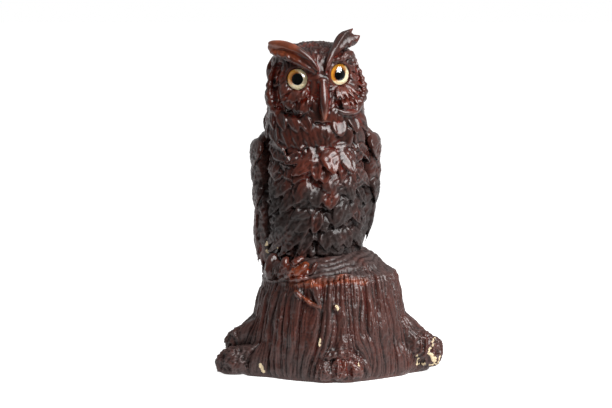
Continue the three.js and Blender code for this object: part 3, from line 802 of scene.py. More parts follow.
def seen_at(point_at, x, z):
    """The angle and height of a surface's point that the camera sees at a place."""
    angle, height = 0.0, z - point_at(np.zeros(1), np.zeros(1))[0][2]
    for _ in range(40):
        seen_x, seen_z = as_seen(point_at(np.array([angle]), np.array([height]))[0])
        angle = min(max(angle + (x - seen_x) / 40, -1.5), 1.5)
        height += z - seen_z
    return angle, height


def add_carved(clay, template, point_at, leaves, thick):
    """Feathers laid on a surface from their roots to their tips, as the camera sees them."""
    for i, (root_x, root_z, tip_x, tip_z, width, lift) in enumerate(leaves):
        root, tip = seen_at(point_at, root_x, root_z), seen_at(point_at, tip_x, tip_z)
        ends = [point_at(np.array([a]), np.array([h]))[0] for a, h in (root, tip)]
        at, _, out, _ = surface_frame(point_at, (root[0] + tip[0]) / 2, (root[1] + tip[1]) / 2)
        ahead = ends[0] - ends[1]
        ahead -= out * (ahead @ out)
        length = np.linalg.norm(ahead)
        ahead /= length
        where = at, np.cross(ahead, out), out, ahead
        size = width * 1.2, length * 1.15, thick
        shape = FLUTE["count"], 1.5 * vary(i + 77), vary(i + 13) > 0
        points = feather_points(template, where, *size, lift, *shape)
        add_form(clay, template, points)


def wing_face(wing, share, z):
    """The face of a wing on its own side, at shares of the way from its front edge to its back edge."""
    up = (z - wing["low"]) / (wing["high"] - wing["low"])
    front = along(wing["front"], up * (len(wing["front"]) - 1))
    back = along(WING_BACK_EDGE, up * (len(WING_BACK_EDGE) - 1))
    crown = np.sqrt(np.maximum(0, 1 - np.abs(2 * share - 1) ** 4))
    ends = np.sqrt(np.maximum(0, 1 - np.abs(2 * up - 1) ** 6))
    lift = along(wing["thick"], up * (len(wing["thick"]) - 1)) * crown * ends
    return skin(TORSO, wing["side"] * (front + (back - front) * share) * DEG, z, lift)


def wing_points(wing, template):
    p = points_of(template)
    z = wing["low"] + (wing["high"] - wing["low"]) * (p[:, 2] + 1) / 2
    round_off = np.maximum(np.hypot(p[:, 0], p[:, 1]), 1e-9)
    face = wing_face(wing, (p[:, 1] / round_off + 1) / 2, z)
    face = pushed(face, TORSO["x"], shaggy(face, 0.35, 71))
    edge = np.arctan2(face[:, 0] - TORSO["x"], -face[:, 1])
    root = skin(TORSO, edge, z, WING_ROOT)
    return np.where((p[:, 0] > 0)[:, None], face, root)


def add_wing_feathers(clay, template, wing, seed):
    span = wing["high"] - wing["low"]
    side = wing["side"]

    def at(a, h):
        return wing_face(wing, a * side, h)

    def add(share, z, width, length, thick, turn, n):
        where = turned(surface_frame(at, share * side, z), (turn + 10 * vary(n)) * DEG)
        add_form(clay, template, feather_points(template, where, width, length, thick, lift=0.8))

    for row in range(COVERTS["rows"]):
        for i in range(COVERTS["across"]):
            share = 0.14 + 0.4 * i + 0.2 * (row % 2)
            z = wing["high"] - 13 - COVERTS["drop"] * row
            n = seed + i + COVERTS["across"] * row
            add(share, z, COVERTS["width"], COVERTS["length"], COVERTS["thick"], 0, n)
    for i in range(FLIGHT["across"]):
        z = wing["low"] + span * (0.28 + 0.04 * i)
        add(0.2 + 0.3 * i, z, FLIGHT["width"], span * FLIGHT["share"], FLIGHT["thick"], 0, seed + 40 + i)
    for row in range(wing["edge_rows"]):
        z = wing["high"] - 10 - EDGE_COVERTS["drop"] * row
        size = EDGE_COVERTS["width"], EDGE_COVERTS["length"], EDGE_COVERTS["thick"]
        add(0.16, z, *size, side * EDGE_COVERTS["turn"], seed + 60 + row)


def root_share(angle, z, trunk):
    """How far the roots stand out of the trunk."""
    root = np.zeros(len(z))
    for r in ROOTS:
        away = np.abs((angle / DEG - r["angle"] + 180) % 360 - 180)
        flare = np.maximum(0, 1 - (np.maximum(0, z) / r["top"]) ** r["power"]) ** 1.3
        root = np.maximum(root, (r["reach"] - trunk) * np.exp(-((away / r["spread"]) ** 2.6)) * flare)
    return root


def bark(angle, z):
    """The bark's relief: plates with ragged tops, and grooves that run down and part round the front knob."""
    ring = np.stack([45 * np.sin(angle), 45 * np.cos(angle), 0.3 * z], -1)
    around = (angle - KNOB["angle"] + math.pi) % TURN - math.pi
    over = around * 46
    height = z - KNOB["z"]
    away = np.maximum(np.hypot(over, height), 1)
    parted = over * (1 - np.minimum(1, (KNOB["radius"] / away) ** 2) * rise(KNOB["from"], KNOB["to"], away))
    line = (parted / 46 + 0.05 * ripple(ring, 24, 3) + 0.018 * ripple(ring, 9, 4)) / TURN + 0.5
    plate = BARK["plates"] * line
    top = BARK["top"] + BARK["climb"] * np.sin(angle) + BARK["ragged"] * (np.modf(np.sin(12.9 * np.floor(plate)) * 437.5)[0] % 1 - 0.5)
    crown = np.abs(np.sin(math.pi * plate))
    plates = 0.5 + (crown**0.4 - 0.5) * rise(top + 1, top - 1.5, z + 2.5 * (1 - crown))
    grooves = np.abs(np.sin(math.pi * BARK["grooves"] * line + 0.9 * ripple(ring, 12, 5))) ** 0.6
    grain = np.abs(np.sin(math.pi * BARK["grain"] * line + 2 * ripple(ring, 9, 7))) ** 0.6 - 0.6
    grain *= 0.5 + 0.5 * ripple(ring, 7, 8)
    strength = 0.8 + 0.5 * ripple(ring, 11, 6)
    deep = BARK["plate"] * (plates - 0.8) + BARK["groove"] * (grooves - 0.7) * strength
    return deep + BARK["grain_depth"] * grain


def trunk_points(lathe):
    """The stump's side pushed out into roots, under the mound on its top."""
    p = points_of(lathe)
    angle = np.arctan2(p[:, 0], -p[:, 1])
    r = np.hypot(p[:, 0], p[:, 1])
    z = p[:, 2]
    trunk = along(TRUNK["radius"], z / TRUNK["step"])
    root = root_share(angle, z, trunk)
    undercut = STUMP["undercut"] + (STUMP["root_undercut"] - STUMP["undercut"]) * np.minimum(1, root / 8)
    side = trunk + root - undercut * (1 - rise(0, 5, z))
    below = np.where(z > 0, 1, np.minimum(r, 1))
    reach = np.where((z < STUMP["rim_z"] - 1e-4) & (r > 1e-4) & (r < 39) | (z <= 0), side * below, r)
    shift = TOP_SHIFT["x"] * rise(TOP_SHIFT["low"], TOP_SHIFT["high"], z)
    return np.stack([reach * np.sin(angle) + STUMP["x"] + shift, -reach * np.cos(angle), z], -1)


def carve_stump(mesh):
    """Bark down the stump's side, and long strands of wood grain that wind up round the mound on top."""
    p = points_of(mesh)
    normal = normals_of(mesh)
    angle = np.arctan2(p[:, 0] - STUMP["x"], -p[:, 1])
    r = np.hypot(p[:, 0] - STUMP["x"], p[:, 1])
    z = p[:, 2]
    over = z - BARK["climb"] * np.sin(angle)
    on_side = rise(0.95, 0.6, normal[:, 2]) * rise(0.3, 4, z) * rise(63, 58, over)
    rough = np.maximum(rise(52, 58, r), near(p, 6, -50, 6, 22))
    upright = p * np.array([1, 1, 0.4])
    lumps = 0.7 * ripple(p, 10, 33) + 1.4 * (crease(upright, 5, 34) - 0.6) + 0.7 * (crease(p, 2.4, 35) - 0.6)
    height = bark(angle, z) * on_side * (1 - 0.6 * rough) + lumps * (0.25 + 0.75 * rough) * rise(0.3, 3, z)
    strands = np.zeros(len(z))
    for i, lean in enumerate(SWIRL["leans"]):
        slope = z + 0.05 * r - lean * np.sin(angle) + SWIRL["wave"] * ripple(p, 17, 31 + i)
        strands = np.maximum(strands, np.abs(np.sin(math.pi * slope / SWIRL["pitch"])) ** 0.7 * (1 - 0.45 * i))
    fine = crease(p * np.array([0.3, 0.3, 1]), 1.4, 38) - 0.6
    on_top = rise(SWIRL["from_z"], SWIRL["from_z"] + 3, over)
    height += on_top * (SWIRL["depth"] * (strands - 0.7) + 0.15 * fine)
    made = p + normal * height[:, None]
    made[:, 2] = np.maximum(made[:, 2], 0)
    place_points(mesh, made)


def facing(template, eye):
    """Points turned from the Z axis to face out of the head at an eye."""
    turn = Matrix.Rotation(eye["turn"], 3, "Z") @ Matrix.Rotation(90 * DEG, 3, "X")
    return points_of(template) @ np.array(turn).T + np.array(eye["at"], float)


def fused(clay, name, grain):
    """The clay's forms grown together into one skin, as a casting's are."""
    rough = bpy.data.meshes.new(name)
    clay.to_mesh(rough)
    clay.free()
    block = bpy.data.objects.new(name, rough)
    bpy.context.scene.collection.objects.link(block)
    melt = block.modifiers.new("melt", "REMESH")
    melt.mode = "VOXEL"
    melt.voxel_size = grain
    made = bpy.data.meshes.new_from_object(block.evaluated_get(bpy.context.evaluated_depsgraph_get()))
    bpy.data.objects.remove(block)
    return made


def relaxed(points, edges, times, share=0.5):
    """Points drawn towards the middle of their neighbours."""
    count = len(points)
    neighbours = np.maximum(np.bincount(edges.ravel(), minlength=count), 1)
    a, b = edges[:, 0], edges[:, 1]
    for _ in range(times):
        middle = np.empty_like(points)
        for k in range(3):
            total = np.bincount(a, points[b, k], count) + np.bincount(b, points[a, k], count)
            middle[:, k] = total / neighbours
        points = points + share * (middle - points)
    return points


def write_mask(mesh, name, values):
    mask = mesh.attributes.new(name, "FLOAT", "POINT")
    mask.data.foreach_set("value", values.astype(np.float32))


def drop_specks(mesh):
    """Deletes the specks and bubbles that the melting leaves apart from the one skin."""
    bm = bmesh.new()
    bm.from_mesh(mesh)
    lowest = min(bm.verts, key=lambda vert: vert.co.z)
    skin_verts, waiting = {lowest}, [lowest]
    while waiting:
        for edge in waiting.pop().link_edges:
            for vert in edge.verts:
                if vert not in skin_verts:
                    skin_verts.add(vert)
                    waiting.append(vert)
    bmesh.ops.delete(bm, geom=[vert for vert in bm.verts if vert not in skin_verts], context="VERTS")
    bm.to_mesh(mesh)
    bm.free()


def cast(mesh, name, triangles):
    """The finished mesh in metres, as a smooth object with at most this many triangles."""
    place_points(mesh, points_of(mesh) * MM)
    piece = bpy.data.objects.new(name, mesh)
    bpy.context.scene.collection.objects.link(piece)
    corners = sum(len(p.vertices) - 2 for p in mesh.polygons)
    if corners > triangles:
        thin = piece.modifiers.new("thin", "DECIMATE")
        thin.ratio = triangles / corners
        kept = bpy.data.meshes.new_from_object(piece.evaluated_get(bpy.context.evaluated_depsgraph_get()))
        piece.modifiers.clear()
        piece.data = kept
    drop_specks(piece.data)
    piece.data.shade_smooth()
    return piece


def hollow_of(mesh, times):
    """How far each point lies below its surroundings, in millimetres, negative on a ridge."""
    points = points_of(mesh) / MM
    soft = relaxed(points, edges_of(mesh), times)
    return np.sum((soft - points) * normals_of(mesh), axis=1)


def near(p, x, y, z, reach):
    """How near points are to a place: 1 there, and 0 past the reach."""
    return rise(1, 0.3, np.linalg.norm(p - np.array([x, y, z]), axis=1) / reach)


def from_line(p, line):
    """The distance of points from a line through some places, on a plane or in space."""
    best = np.full(len(p), 1e9)
    for a, b in zip(line, line[1:]):
        a, b = np.array(a, float), np.array(b, float)
        t = np.clip((p - a) @ (b - a) / ((b - a) @ (b - a)), 0, 1)
        best = np.minimum(best, np.linalg.norm(p - a - np.outer(t, b - a), axis=1))
    return best


def near_line(p, line, reach):
    """How near points are to a line: 1 on it, and 0 past the reach."""
    return rise(1, 0.4, from_line(p, [place[:3] for place in line]) / reach)


def weathered(mesh):
    """Hand-carved roughness all over, with the pressed lines of GROOVES."""
    p = points_of(mesh)
    normal = normals_of(mesh)
    body = rise(150, 128, p[:, 2])
    amount = 0.4 * body * (crease(p, 5, 41) - 0.6) + 0.08 * (crease(p, 2.4, 42) - 0.6)
    toes = near(p, -20, -33, 66, 18)
    amount += toes * (0.7 * ripple(p, 5, 43) + 0.5 * crease(p, 3, 44))
    fan = CROWN["streaks"] * np.arctan2(p[:, 0] - CROWN["x"], p[:, 2] - CROWN["z"])
    streaks = np.abs(np.sin(fan + 1.6 * ripple(p, 8, 22))) ** 0.6 - 0.6 + 0.5 * ripple(p, 4, 23)
    tufts = [LIMBS["right brow crest"], LIMBS["right brow"], LIMBS["left tuft blade"], LIMBS["left brow"]]
    clear = 1 - np.max([near_line(p, line, 6) for line in tufts], axis=0)
    crown = clear * rise(CROWN["from_z"], CROWN["from_z"] + 6, p[:, 2]) * (1 - 0.5 * rise(-8, 8, p[:, 1]))
    amount += CROWN["depth"] * streaks * crown
    seen = np.stack([*as_seen(p)], -1)
    facing_camera = rise(-0.1, -0.4, normal[:, 1])
    for width, depth, line in GROOVES.values():
        amount -= depth * facing_camera * np.exp(-((from_line(seen, line) / width) ** 2))
    place_points(mesh, p + normal * amount[:, None])


def sink_sockets(mesh):
    """The casting pressed back behind each glass eye."""
    p = points_of(mesh)
    for eye in EYES.values():
        turn = np.array(Matrix.Rotation(eye["turn"], 3, "Z") @ Matrix.Rotation(90 * DEG, 3, "X"))
        own = (p - np.array(eye["at"])) @ turn
        inside = (np.hypot(own[:, 0], own[:, 1]) < EYE["radius"] + 0.3) & (own[:, 2] > -EYE["back"] - 0.3)
        inside &= own[:, 2] < 12
        own[inside, 2] = -EYE["back"] - 0.3
        p = own @ turn.T + np.array(eye["at"])
    place_points(mesh, p)


# The owl's forms
clay = bmesh.new()
fine_ball = ball(40, 28, 7)
limb_ball = ball(24, 64)
leaf_ball = ball(36, 30)
add_form(clay, fine_ball, carve_torso(mass_points(TORSO, fine_ball)))
add_form(clay, fine_ball, on_body(carve_head(mass_points(HEAD, fine_ball))))
for name, line in (LIMBS | TOES).items():
    add_form(clay, limb_ball, limb_points(limb_ball, line, RIM_TEETH.get(name, 0)))
add_plumage(clay, leaf_ball, torso_at, MANTLE, 800, math.pi)
add_plumage(clay, leaf_ball, head_at, NAPE, 900, math.pi)
add_carved(clay, leaf_ball, torso_at, BREAST_LEAVES, 1.4)
add_carved(clay, leaf_ball, head_at, RUFF_LEAVES, 1.3)
add_carved(clay, leaf_ball, head_at, FACE_LEAVES, 0.9)
for i, wing in enumerate(WINGS):
    add_form(clay, fine_ball, wing_points(wing, fine_ball))
    add_wing_feathers(clay, leaf_ball, wing, 500 + 100 * i)
lid = bmesh.new()
bmesh.ops.create_circle(lid, segments=16, radius=LID["thick"])
bmesh.ops.rotate(lid, verts=lid.verts, cent=(0, 0, 0), matrix=Matrix.Rotation(90 * DEG, 3, "X"))
bmesh.ops.translate(lid, verts=lid.verts, vec=(LID["radius"], 0, LID["stand"]))
bmesh.ops.spin(
    lid,
    geom=lid.verts[:] + lid.edges[:],
    cent=(0, 0, 0),
    axis=(0, 0, 1),
    dvec=(0, 0, 0),
    angle=TURN,
    steps=64,
    use_merge=True,
)
bmesh.ops.remove_doubles(lid, verts=lid.verts, dist=1e-5)
bmesh.ops.recalc_face_normals(lid, faces=lid.faces)
lid_mesh = mesh_of(lid, "lid")
for eye in EYES.values():
    add_form(clay, lid_mesh, facing(lid_mesh, eye))
owl_mesh = fused(clay, "owl", OWL_GRAIN)
weathered(owl_mesh)
sink_sockets(owl_mesh)
owl = cast(owl_mesh, "owl_casting", TRIANGLES)

# The stump's forms
clay = bmesh.new()
heights = [STUMP["rim_z"] * i / STUMP["rows"] for i in range(STUMP["rows"])]
lathe = spun([(0, 0)] + [(1, z) for z in heights] + TOP, STUMP["columns"], STUMP["cuts"])
add_form(clay, lathe, trunk_points(lathe))
for line in STUMP_LIMBS.values():
    add_form(clay, limb_ball, limb_points(limb_ball, line))
stump_mesh = fused(clay, "stump", STUMP_GRAIN)
carve_stump(stump_mesh)
stump = cast(stump_mesh, "stump_casting", TRIANGLES)



def write_masks(piece, regions):
    """What the finish needs to know about the form: its hollows, its colour regions, and its chips with the highlight
    painted on the knot.
    """
    mesh = piece.data
    p = points_of(mesh) / MM
    write_mask(mesh, "hollow", hollow_of(mesh, 6))
    write_mask(mesh, "deep", hollow_of(mesh, 60))
    for name, region in regions.items():
        write_mask(mesh, name, np.clip(region(p), 0, 1))
    chip_and_highlight = np.full(len(p), -9.0)
    seen_x, seen_z = as_seen(p)
    for radius, line in CHIPS_AND_HIGHLIGHT.values():
        for x, z in np.concatenate([np.linspace(a, b, 6) for a, b in zip(line, line[1:])]):
            around = np.hypot(seen_x - x, seen_z - z) < radius
            if around.any():
                middle = p[around][np.argmin(p[around][:, 1])]
                chip_and_highlight = np.maximum(chip_and_highlight, radius - np.linalg.norm(p - middle, axis=1))
    write_mask(mesh, "chip_and_highlight", chip_and_highlight)


def low_wing(p):
    """The lower half of the owl's right wing."""
    return rise(-34, -39, p[:, 0]) * rise(112, 92, p[:, 2])


def owl_warm(p):
    """Where the owl's stain is thin and shows red-brown or orange."""
    mask = 0.15 + 0.5 * rise(138, 156, p[:, 2]) + 0.55 * near(p, -5, -31, 122, 24)
    mask += 0.6 * near(p, 1, -34, 104, 9) + 0.2 * near(p, -26, -18, 164, 14) + 0.5 * near(p, -18, -36, 64, 16)
    mask += 0.3 * near_line(p, LIMBS["left brow"], 3) + 0.5 * near_line(p, TOES["folded toe"], 3)
    return np.minimum(mask + 0.5 * low_wing(p), 0.85)


def owl_bare(p):
    """Where the owl's stain is nearly worn away and shows orange."""
    brow = 0.8 * near_line(p, LIMBS["right brow crest"], 8) * rise(-8, -28, p[:, 0])
    beak = 0.7 * rise(164, 150, p[:, 2]) * near_line(p, LIMBS["beak"], 5)
    return brow + beak + 0.45 * near_line(p, TOES["middle toe"], 5)


def owl_dark(p):
    """Where the owl's stain is nearly black."""
    crown = rise(184, 190, p[:, 2]) * (1 - near_line(p, LIMBS["right brow"], 8)) * rise(14, 8, p[:, 0])
    lighter = near(p, -18, -36, 64, 16) + 0.8 * near(p, 1, -34, 104, 8) + 0.5 * near(p, -33, -22, 68, 18)
    return 0.3 + 0.7 * rise(119, 106, p[:, 2]) + 0.5 * crown - lighter - 0.7 * low_wing(p)


# The worn front edge of the stump's top
RIM_GLOW = [(-22, -34, 56), (-8, -40, 57), (8, -39, 60), (20, -35, 58)]


def stump_warm(p):
    """Where the stump's stain is thin and shows red-brown."""
    return 0.25 + 0.6 * near_line(p, RIM_GLOW, 5) + 0.25 * near(p, 6, -50, 6, 18)


def stump_bare(p):
    """Where the stump's stain is nearly worn away and shows orange."""
    branch = near_line(p, STUMP_LIMBS["branch of the drip"], 2.5)
    return 0.55 * near_line(p, RIM_GLOW, 4.5) + 0.5 * branch


def stump_dark(p):
    """Where the stump is nearly black: stain on the mound's top, and painted shade low on the left side and to the left
    of the front knob.
    """
    # Darker low on the left side and to the left of the front knob: painted shade
    mask = 0.3 + 0.6 * near(p, -50, -14, 6, 30)
    return mask + 0.9 * rise(57, 62, p[:, 2]) + 0.4 * near(p, -16, -44, 8, 16)


OWL_REGIONS = {"warm": owl_warm, "bare": owl_bare, "dark": owl_dark}
STUMP_REGIONS = {"warm": stump_warm, "bare": stump_bare, "dark": stump_dark}


class Field:
    """A value, colour or direction that varies over a surface, from one socket of a finish's nodes."""

    def __init__(self, finish, socket):
        self.finish = finish
        self.socket = socket

    def math(self, operation, first, second):
        return self.finish.node("ShaderNodeMath", {"operation": operation}, {0: first, 1: second})

    def __add__(self, other):
        return self.math("ADD", self, other)

    def __sub__(self, other):
        return self.math("SUBTRACT", self, other)

    def __rsub__(self, other):
        return self.math("SUBTRACT", other, self)

    def __mul__(self, other):
        return self.math("MULTIPLY", self, other)

    __radd__ = __add__
    __rmul__ = __mul__


class Finish:
    """One material, and the nodes that vary it over a surface."""

    def __init__(self, name):
        self.material = bpy.data.materials.new(name)
        self.material.use_nodes = True
        self.tree = self.material.node_tree
        self.shader = self.tree.nodes["Principled BSDF"]

    def node(self, kind, settings, inputs, output=0):
        made = self.tree.nodes.new(kind)
        for name, value in settings.items():
            setattr(made, name, value)
        for key, value in inputs.items():
            if isinstance(value, Field):
                self.tree.links.new(value.socket, made.inputs[key])
            else:
                made.inputs[key].default_value = value
        return Field(self, made.outputs[output])

    def plain(self, **values):
        """Sets values that are the same all over the surface."""
        for name, value in values.items():
            self.shader.inputs[name.replace("_", " ")].default_value = value

    def feed(self, name, field):
        self.tree.links.new(field.socket, self.shader.inputs[name])

    def place(self, stretch=(1, 1, 1)):
        """The place on the object in millimetres, each way stretched."""
        at = self.node("ShaderNodeTexCoord", {}, {}, "Object")
        scale = tuple(1 / (MM * way) for way in stretch)
        return self.node("ShaderNodeVectorMath", {"operation": "MULTIPLY"}, {0: at, 1: scale})

    def noise(self, size, detail=3, stretch=(1, 1, 1)):
        """A soft random field whose spots are about this many millimetres across."""
        inputs = {"Vector": self.place(stretch), "Scale": 1 / size, "Detail": detail}
        return self.node("ShaderNodeTexNoise", {}, inputs)

    def mask(self, name):
        return self.node("ShaderNodeAttribute", {"attribute_name": name}, {}, "Fac")

    def step(self, field, low, high):
        """A smooth rise from 0 to 1 as a field goes from low to high."""
        inputs = {0: field, 1: low, 2: high}
        return self.node("ShaderNodeMapRange", {"interpolation_type": "SMOOTHSTEP"}, inputs)

    def blend(self, share, first, second):
        settings = {"data_type": "RGBA"}
        first, second = (c if isinstance(c, Field) else (*c, 1) for c in (first, second))
        return self.node("ShaderNodeMix", settings, {0: share, 6: first, 7: second}, 2)

    def bump(self, height, distance, under=None):
        inputs = {"Height": height, "Distance": distance * MM, "Strength": 1}
        if under:
            inputs["Normal"] = under
        return self.node("ShaderNodeBump", {}, inputs, "Normal")


# Black for the hollows: partly stain pooled there, partly painted shade
BLACK_STAIN_AND_SHADE = (0.006, 0.003, 0.0025)
DARK_STAIN = (0.013, 0.0055, 0.004)
# Grey for the ridges of the dark regions: partly the stain's own grey, partly a painted sheen in place of the gloss
# those regions lose
SMOKE_AND_SHEEN = (0.023, 0.0165, 0.0155)
BARK_SMOKE_AND_SHEEN = (0.044, 0.028, 0.026)
DEEP_RED = (0.1, 0.008, 0.003)
MAHOGANY = (0.034, 0.008, 0.005)
RED_BROWN = (0.095, 0.018, 0.009)
ORANGE_BROWN = (0.24, 0.05, 0.014)
PLASTER = (0.62, 0.50, 0.33)


def lacquered_plaster(name, grain_stretch, coat_roughness, smoke_and_sheen):
    """Mahogany stain rubbed thin on the ridges, under glossy lacquer; the hollows darker and duller, partly stain
    pooled there and partly painted shade, and the ridges of the dark regions grey, partly a painted sheen.
    """
    finish = Finish(name)
    blotch = finish.noise(9, 5, (1, 1, 1.6))
    streak = finish.noise(2.2, 4, grain_stretch)
    fine = finish.noise(0.7, 3)
    ridge = 1 - finish.step(finish.mask("hollow") + (streak - 0.5) * 0.25, -0.22, 0.2)
    open_share = 1 - finish.step(finish.mask("deep") + (blotch - 0.5) * 0.8, -0.3, 1.1)
    # thin falls in small and deep hollows; below it darkens them, partly as stain pooled there and partly as painted
    # shade
    thin = ridge * 0.55 + open_share * 0.45
    rubbed = finish.step(thin + (blotch - 0.5) * 0.5, 0.25, 0.95)
    warm = finish.mask("warm") * finish.step(blotch + (streak - 0.5) * 0.5, 0.32, 0.62)
    bared = finish.step(finish.mask("bare") + (blotch - 0.5) * 0.8, 0.1, 0.9)
    # The colour of the hollows: black or deep red stain, darkened also as painted shade
    hollow_stain_and_shade = finish.blend(finish.step(warm, 0, 0.6), BLACK_STAIN_AND_SHADE, DEEP_RED)
    body = finish.blend(finish.step(thin, 0.12, 0.5), hollow_stain_and_shade, finish.blend(warm, DARK_STAIN, MAHOGANY))
    body = finish.blend(rubbed, body, MAHOGANY)
    body = finish.blend(warm * finish.step(thin, 0.4, 0.8), body, RED_BROWN)
    body = finish.blend(bared * (ridge * 0.5 + 0.5), body, ORANGE_BROWN)
    dark = finish.mask("dark") * finish.step(blotch, 0.85, 0.45)
    # In the dark regions: black in the hollows, and grey on the ridges that is partly a painted sheen
    body = finish.blend(dark, body, finish.blend(thin, BLACK_STAIN_AND_SHADE, smoke_and_sheen))
    # Cream plaster where the casting is chipped, and on the knot as a painted highlight
    chipped_and_highlit = finish.step(finish.mask("chip_and_highlight") + (fine - 0.5) * 1.6, 0, 0.25)
    colour = finish.blend(chipped_and_highlit, body, finish.blend(fine, PLASTER, tuple(0.7 * c for c in PLASTER)))
    finish.feed("Base Color", colour)
    finish.feed("Roughness", finish.step(fine + chipped_and_highlit, 0.2, 1.4) * 0.6 + 0.28)
    # Less gloss in the hollows: painted shade on the reflection, in place of the walls that would hide the tent
    finish.feed("Coat Weight", (1 - chipped_and_highlit - dark * 0.6) * (thin * 0.55 + 0.45))
    height = streak * 0.5 + fine * 0.1 + chipped_and_highlit * -0.6
    finish.feed("Normal", finish.bump(height, 0.25))
    finish.plain(Coat_Roughness=coat_roughness, Specular_IOR_Level=0)
    return finish.material


def glass():
    finish = Finish("eye glass")
    finish.plain(Base_Color=(1, 1, 1, 1), Roughness=0.0, IOR=1.7, Transmission_Weight=1)
    return finish.material


def painted_iris():
    """Paint behind the glass: a black pupil, amber on one side giving way to cream on the other, and a dark edge."""
    finish = Finish("painted iris")
    across = finish.mask("iris_radius")
    ray = finish.noise(0.6, 3)
    cream = finish.blend(finish.step(ray, 0.35, 0.65), (0.98, 0.8, 0.46), (1.0, 0.92, 0.68))
    amber = finish.blend(finish.step(across + ray, 3.2, 4.6), (0.26, 0.06, 0.006), (0.70, 0.30, 0.03))
    # Amber towards the side set by the eye's amber direction and near the pupil, cream towards the other side
    amber_side = finish.mask("amber") - finish.step(across, 2.6, 6.2) * 0.5 + (ray - 0.5) * 0.5
    colour = finish.blend(finish.step(amber_side, -0.1, 0.15), cream, amber)
    colour = finish.blend(finish.step(across + (ray - 0.5) * 0.4, 2.7, 2.9), (0.0, 0.0, 0.0), colour)
    colour = finish.blend(finish.step(across, 5.1, 5.5), colour, (0.01, 0.006, 0.004))
    finish.feed("Base Color", colour)
    finish.plain(Roughness=0.6, Specular_IOR_Level=0)
    return finish.material


# Chipped places, where the cream plaster shows, and a pale patch on the knot painted as a highlight: half width, and
# the places along each as the camera sees them
CHIPS_AND_HIGHLIGHT = {
    "ring of the left root": (0.7, [(61.2, 23), (59, 18.4), (57.4, 12.8)]),
    "break of the left root": (1.5, [(59.4, 12), (62, 8.4)]),
    "edge of the break": (0.8, [(64.8, 12), (63.6, 7.2), (58, 5.8)]),
    "foot of the left root": (0.8, [(50.6, 12), (51.2, 7.4), (54.6, 6.8)]),
    "foot of the right root": (1.2, [(-41.2, 7.6), (-39.2, 3.2)]),
    "side of the body": (1.3, [(-37.4, 79), (-37, 73)]),
    "spot on the thigh": (0.5, [(-30.3, 75.8), (-30.3, 75.2)]),
    # The knot's cream patch is a painted highlight, not a chip
    "knot": (1.0, [(3.9, 43.4), (4.6, 40)]),
    "trunk": (0.8, [(-6.4, 23.6), (-6.4, 20.6)]),
    "knob": (0.5, [(16.8, 10), (17.2, 8.6)]),
}

write_masks(owl, OWL_REGIONS)
write_masks(stump, STUMP_REGIONS)
FINISHES = (
    (owl, lacquered_plaster("lacquered feathers", (1, 1, 3), 0.25, SMOKE_AND_SHEEN)),
    (stump, lacquered_plaster("lacquered bark", (1, 1, 7), 0.34, BARK_SMOKE_AND_SHEEN)),
)
for piece, finish in FINISHES:
    piece.data.materials.clear()
    piece.data.materials.append(finish)
    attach(piece, "root")
    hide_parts("owl_on_stump")

# Glass eyes, each a clear dome over a painted disc
clear = glass()
iris_paint = painted_iris()
for name, eye in EYES.items():
    r, dome = EYE["radius"], EYE["dome"]
    arc = [(r * math.cos(a * DEG), dome * math.sin(a * DEG)) for a in range(0, 90, 6)]
    lens = spun([(0, -EYE["back"]), (r, -EYE["back"])] + arc + [(0, dome)], 64)
    place_points(lens, facing(lens, eye) * MM)
    iris = spun([(0, -1.0), (2.4, -0.95), (5.8, -0.2), (5.8, -0.5), (0, -1.3)], 64, 2)
    flat = points_of(iris)
    side, up, more = eye["amber"]
    write_mask(iris, "iris_radius", np.hypot(flat[:, 0], flat[:, 1]))
    write_mask(iris, "amber", (side * flat[:, 0] + up * flat[:, 1]) / r + more)
    place_points(iris, facing(iris, eye) * MM)
    for part, finish, label in ((lens, clear, "glass"), (iris, iris_paint, "iris")):
        piece = bpy.data.objects.new(f"{name}_{label}", part)
        scene_root = bpy.context.scene.collection
        scene_root.objects.link(piece)
        part.materials.append(finish)
        part.shade_smooth()
        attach(piece, "root")
        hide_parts(name)

# Camera
scene = bpy.context.scene
camera = bpy.data.objects.new("camera", bpy.data.cameras.new("camera"))
scene.collection.objects.link(camera)
scene.camera = camera
camera.data.lens = FOCAL_LENGTH
camera.data.sensor_width = SENSOR_WIDTH
away = Vector((0, -math.cos(VIEW_RISE), math.sin(VIEW_RISE)))
camera.location = AIM + away * VIEW_DISTANCE
camera.rotation_euler = (-away).to_track_quat("-Z", "Y").to_euler()

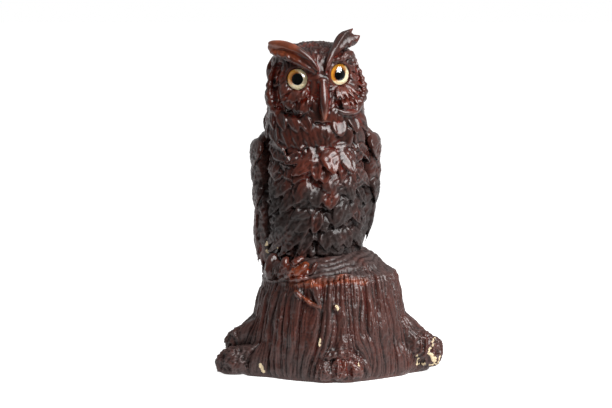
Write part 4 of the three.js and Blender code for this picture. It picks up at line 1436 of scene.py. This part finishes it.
# Floor
bm = bmesh.new()
bmesh.ops.create_grid(bm, x_segments=1, y_segments=1, size=FLOOR["half"])
bmesh.ops.translate(bm, verts=bm.verts, vec=(0, FLOOR["half"] - FLOOR["ahead"], 0))
floor = bpy.data.objects.new("floor", mesh_of(bm, "floor"))
scene.collection.objects.link(floor)
paper = Finish("pale paper")
paper.plain(Base_Color=(0.4, 0.4, 0.4, 1), Roughness=0.8, Emission_Color=(1, 1, 1, 1), Emission_Strength=0.9)
floor.data.materials.append(paper.material)

# Light: a white tent, darker on the camera's side, and a large soft light at the upper right
world = bpy.data.worlds.new("studio")
scene.world = world
world.use_nodes = True
tent = world.node_tree
sky = tent.nodes["Background"]
seen = tent.nodes.new("ShaderNodeBackground")
path = tent.nodes.new("ShaderNodeLightPath")
pick = tent.nodes.new("ShaderNodeMixShader")
way = tent.nodes.new("ShaderNodeTexCoord")
split = tent.nodes.new("ShaderNodeSeparateXYZ")
ramp = tent.nodes.new("ShaderNodeMapRange")
tent.links.new(way.outputs["Generated"], split.inputs[0])
tent.links.new(split.outputs["Y"], ramp.inputs[0])
for i, value in ((1, -0.7), (2, 0.6), (3, 0.06), (4, 0.65)):
    ramp.inputs[i].default_value = value
tent.links.new(ramp.outputs[0], sky.inputs["Strength"])
sky.inputs["Color"].default_value = (1, 1, 1, 1)
seen.inputs["Color"].default_value = (1, 1, 1, 1)
tent.links.new(path.outputs["Is Camera Ray"], pick.inputs[0])
tent.links.new(sky.outputs[0], pick.inputs[1])
tent.links.new(seen.outputs[0], pick.inputs[2])
tent.links.new(pick.outputs[0], tent.nodes["World Output"].inputs["Surface"])

key = bpy.data.objects.new("key light", bpy.data.lights.new("key light", "AREA"))
key.data.shape = "DISK"
key.data.size = 0.8
key.data.energy = 24
key.location = Vector((0.52, -0.58, 0.62)) * 0.9 + Vector((0, 0, 0.12))
key.rotation_euler = (Vector((0, 0, 0.12)) - key.location).to_track_quat("-Z", "Y").to_euler()
scene.collection.objects.link(key)
scene.view_settings.view_transform = "Standard"
